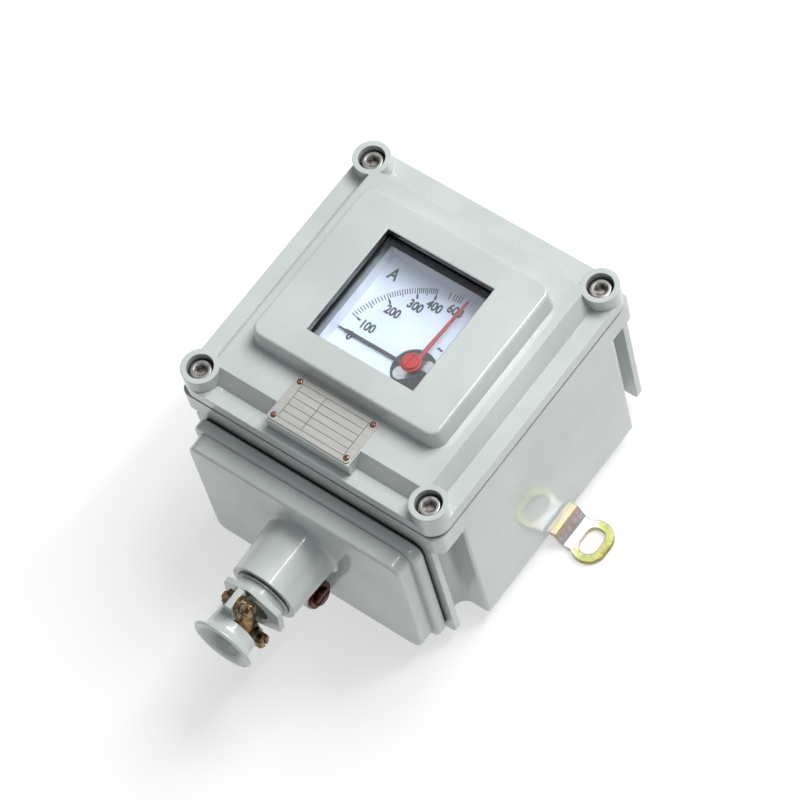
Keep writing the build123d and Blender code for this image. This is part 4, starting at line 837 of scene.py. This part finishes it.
left, right = plate_low.x + FORM_SIDE_MM * MM, plate_high.x - FORM_SIDE_MM * MM
foot, head = plate_low.y + FORM_END_MM * MM, plate_high.y - FORM_END_MM * MM
half_rule = RULE_MM * MM / 2
rows = [foot + (head - foot) * row / FORM_ROWS for row in range(FORM_ROWS + 1)]
for y in rows:
    add_rule(form_mesh, left, right, y - half_rule, y + half_rule)
for x in (left, left + (right - left) * FORM_COLUMN, right):
    for lower, upper in zip(rows, rows[1:]):
        add_rule(form_mesh, x - half_rule, x + half_rule, lower + half_rule, upper - half_rule)
finish_mesh(form_mesh, "nameplate_form", grey_ink, "box")

# %% [markdown]
# ## The thread of the gland nut
# Where the nut isn't screwed fully home, a turn or two of its thread show in the mouth of the
# boss, in dark tones. A thread is one groove that climbs round a cylinder, so its crest and its
# root are points that go round the axis and move along it by one pitch in each turn.
# Each pair below is a radius and a place along the axis.

# %% Gland thread
THREAD_PITCH = 0.75
THREAD_TURNS = 1.6
THREAD_START = -115.2
THREAD_SECTION = [(13.3, 0.55), (13.9, 0.1), (13.9, -0.1), (13.3, -0.55)]
GLAND_Z = 52.8
TURN_STEPS = 72
thread_mesh = bmesh.new()
thread_sections = []
for step in range(int(THREAD_TURNS * TURN_STEPS) + 1):
    angle = 2 * math.pi * step / TURN_STEPS
    along = THREAD_START - THREAD_PITCH * step / TURN_STEPS
    thread_sections.append([thread_mesh.verts.new((radius * math.cos(angle) * MM,
                                                   (along + shift) * MM,
                                                   (GLAND_Z + radius * math.sin(angle)) * MM))
                            for radius, shift in THREAD_SECTION])
loft(thread_mesh, thread_sections)
finish_mesh(thread_mesh, "gland_thread", dark_thread_steel, "box")

# %% [markdown]
# ## The skirt of the red knob
# The knob of the index pointer stands on a wider flat skirt of the same red moulding. It is
# turned here from a short profile of radius and height, as on a lathe, and the skin runs round
# into itself, so it needs no caps.

# %% Knob skirt
SKIRT_STEPS = 64
SKIRT_GAP_MM = 0.02
SKIRT_PROFILE = [(3.2, 0.0), (4.7, 0.0), (4.8, 0.15), (4.7, 0.45), (4.3, 0.62), (3.2, 0.66)]
skirt_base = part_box("index_knob")[0].z + SKIRT_GAP_MM * MM
skirt_mesh = bmesh.new()
skirt_rings = []
for step in range(SKIRT_STEPS):
    angle = 2 * math.pi * step / SKIRT_STEPS
    skirt_rings.append([skirt_mesh.verts.new((PIVOT.x + radius * math.cos(angle) * MM,
                                              PIVOT.y + radius * math.sin(angle) * MM,
                                              skirt_base + rise * MM))
                        for radius, rise in SKIRT_PROFILE])
loft(skirt_mesh, skirt_rings, closed=True)
knob_skirt = finish_mesh(skirt_mesh, "index_knob_skirt", red_styrene, "index")
shade_by_angle(knob_skirt)

# %% [markdown]
# ## The table
# The box stands on a pale table. It has two colours. To the light it is nearly white, so that
# it throws light back onto the walls as a real table does. To the camera, to mirrors and
# through glass it is a mid grey with a glow of its own, which add up to white in the open, and
# the grey part keeps a soft shadow round the box.

# %% Table
TABLE_SIZE = 6.0
TABLE_DROP_MM = 0.3
TABLE_TO_LIGHT, TABLE_TO_EYE = "#F6F6F6", "#AEAEAE"
TABLE_GLOW = 0.60
half = TABLE_SIZE / 2
floor_mesh = bpy.data.meshes.new("floor")
floor_mesh.from_pydata([(-half, -half, 0), (half, -half, 0), (half, half, 0), (-half, half, 0)],
                       [], [(0, 1, 2, 3)])
floor = bpy.data.objects.new("floor", floor_mesh)
bpy.context.scene.collection.objects.link(floor)
floor.location.z = -TABLE_DROP_MM * MM

floor_material, floor_tree, floor_shader = new_material("pale_studio_floor")
ray = add_node(floor_tree, "ShaderNodeLightPath")
reflected = add_node(floor_tree, "ShaderNodeMath", {"operation": "ADD"},
                     i0=ray.outputs["Is Camera Ray"], i1=ray.outputs["Is Glossy Ray"])
looked_at = add_node(floor_tree, "ShaderNodeMath", {"operation": "ADD", "use_clamp": True},
                     i0=reflected.outputs["Value"], i1=ray.outputs["Is Transmission Ray"])
cover = add_node(floor_tree, "ShaderNodeMix", {"data_type": "RGBA"},
                 i0=looked_at.outputs["Value"], i6=paint(TABLE_TO_LIGHT), i7=paint(TABLE_TO_EYE))
set_inputs(floor_tree, floor_shader, Base_Color=cover.outputs[2], Roughness=0.9,
           Specular_IOR_Level=0.0)
glow = add_node(floor_tree, "ShaderNodeMath", {"operation": "MULTIPLY"},
                i0=looked_at.outputs["Value"], i1=TABLE_GLOW)
lift = add_node(floor_tree, "ShaderNodeEmission", Color=paint("#FFFFFF"),
                Strength=glow.outputs["Value"])
table = add_node(floor_tree, "ShaderNodeAddShader", i0=floor_shader.outputs["BSDF"],
                 i1=lift.outputs["Emission"])
set_inputs(floor_tree, floor_tree.nodes["Material Output"], Surface=table.outputs["Shader"])
floor_mesh.materials.append(floor_material)
print("table", TABLE_SIZE, "m wide")

# %% [markdown]
# ## The room
# The room gives an even weak light from all sides. The background is white only to the camera
# and to what it sees straight through glass. A glossy face mirrors the room instead, and there
# it is lighter overhead than at the sides, so that the lid's top and slopes don't look alike. The
# dial behind the glass gets its light through the clear panes, so once a ray has left the dial,
# the room seen by refraction is dark and nothing counts twice.

# %% Room light
ROOM_LIGHT = 0.25
ROOM_TINT = "#F4F7FF"
SIDES_UP_TO, OVERHEAD_FROM = 0.05, 0.75
SIDES_LIGHT, OVERHEAD_LIGHT = 0.10, 0.62
world = bpy.data.worlds.new("studio")
bpy.context.scene.world = world
world.use_nodes = True
sky = world.node_tree
sky.nodes.clear()
kind = add_node(sky, "ShaderNodeLightPath")
straight = add_node(sky, "ShaderNodeMath", {"operation": "LESS_THAN"},
                    i0=kind.outputs["Diffuse Depth"], i1=0.5)
through = add_node(sky, "ShaderNodeMath", {"operation": "MULTIPLY"},
                   i0=kind.outputs["Is Transmission Ray"], i1=straight.outputs["Value"])
seen = add_node(sky, "ShaderNodeMath", {"operation": "MAXIMUM"},
                i0=kind.outputs["Is Camera Ray"], i1=through.outputs["Value"])
ray_way = add_node(sky, "ShaderNodeSeparateXYZ",
                   Vector=add_node(sky, "ShaderNodeTexCoord").outputs["Generated"])
ceiling = add_node(sky, "ShaderNodeMapRange", {"interpolation_type": "SMOOTHSTEP"},
                   Value=ray_way.outputs["Z"], From_Min=SIDES_UP_TO, From_Max=OVERHEAD_FROM,
                   To_Min=SIDES_LIGHT, To_Max=OVERHEAD_LIGHT)
first_gloss = add_node(sky, "ShaderNodeMath", {"operation": "MULTIPLY"},
                       i0=kind.outputs["Is Glossy Ray"], i1=straight.outputs["Value"])
plain = add_node(sky, "ShaderNodeMath", {"operation": "MULTIPLY_ADD"},
                 i0=kind.outputs["Is Transmission Ray"], i1=-ROOM_LIGHT, i2=ROOM_LIGHT)
mirrored = add_node(sky, "ShaderNodeMix", {"data_type": "FLOAT"},
                    i0=first_gloss.outputs["Value"], i2=plain.outputs["Value"],
                    i3=ceiling.outputs["Result"])
soft = add_node(sky, "ShaderNodeBackground", Color=paint(ROOM_TINT),
                Strength=mirrored.outputs[0])
white = add_node(sky, "ShaderNodeBackground", Color=paint("#FFFFFF"), Strength=1.0)
mixed = add_node(sky, "ShaderNodeMixShader", Fac=seen.outputs["Value"],
                 i1=soft.outputs["Background"], i2=white.outputs["Background"])
add_node(sky, "ShaderNodeOutputWorld", Surface=mixed.outputs["Shader"])
print("room light", ROOM_LIGHT)

# %% [markdown]
# ## Two lamps
# A large soft lamp hangs high on the far side, so that the top is light, the slopes that face
# the camera are darker and the shadow falls softly towards us. A narrow strip lamp hangs
# overhead, turned so that it lies in line with the gland. It is weak, and does little but draw
# the thin bright lines along the round gland and the rounded edges.

# %% Lamps
LAMP_DISTANCE = 1.8
LAMP_AIM = Vector((0, 0, 60 * MM))


def add_lamp(name, towards, width, length, power, spin=0.0):
    """A rectangular lamp that shines at the box from one direction, turned by spin degrees."""
    data = bpy.data.lights.new(name, "AREA")
    data.shape = "RECTANGLE"
    data.size = width
    data.size_y = length
    data.energy = power
    lamp = bpy.data.objects.new(name, data)
    bpy.context.scene.collection.objects.link(lamp)
    way = Vector(towards).normalized()
    lamp.location = LAMP_AIM + way * LAMP_DISTANCE
    lamp.visible_transmission = False
    lamp.rotation_mode = "QUATERNION"
    lamp.rotation_quaternion = (-way).to_track_quat("-Z", "Y") \
        @ Quaternion((0, 0, 1), math.radians(spin))
    print(name, "lamp of", power, "W,", width, "by", length, "m")


add_lamp("key", towards=(0.16, 0.50, 0.85), width=1.0, length=1.0, power=29.5)
add_lamp("strip", towards=(0.35, 0.31, 0.88), width=0.05, length=1.3, power=6.5, spin=48.5)
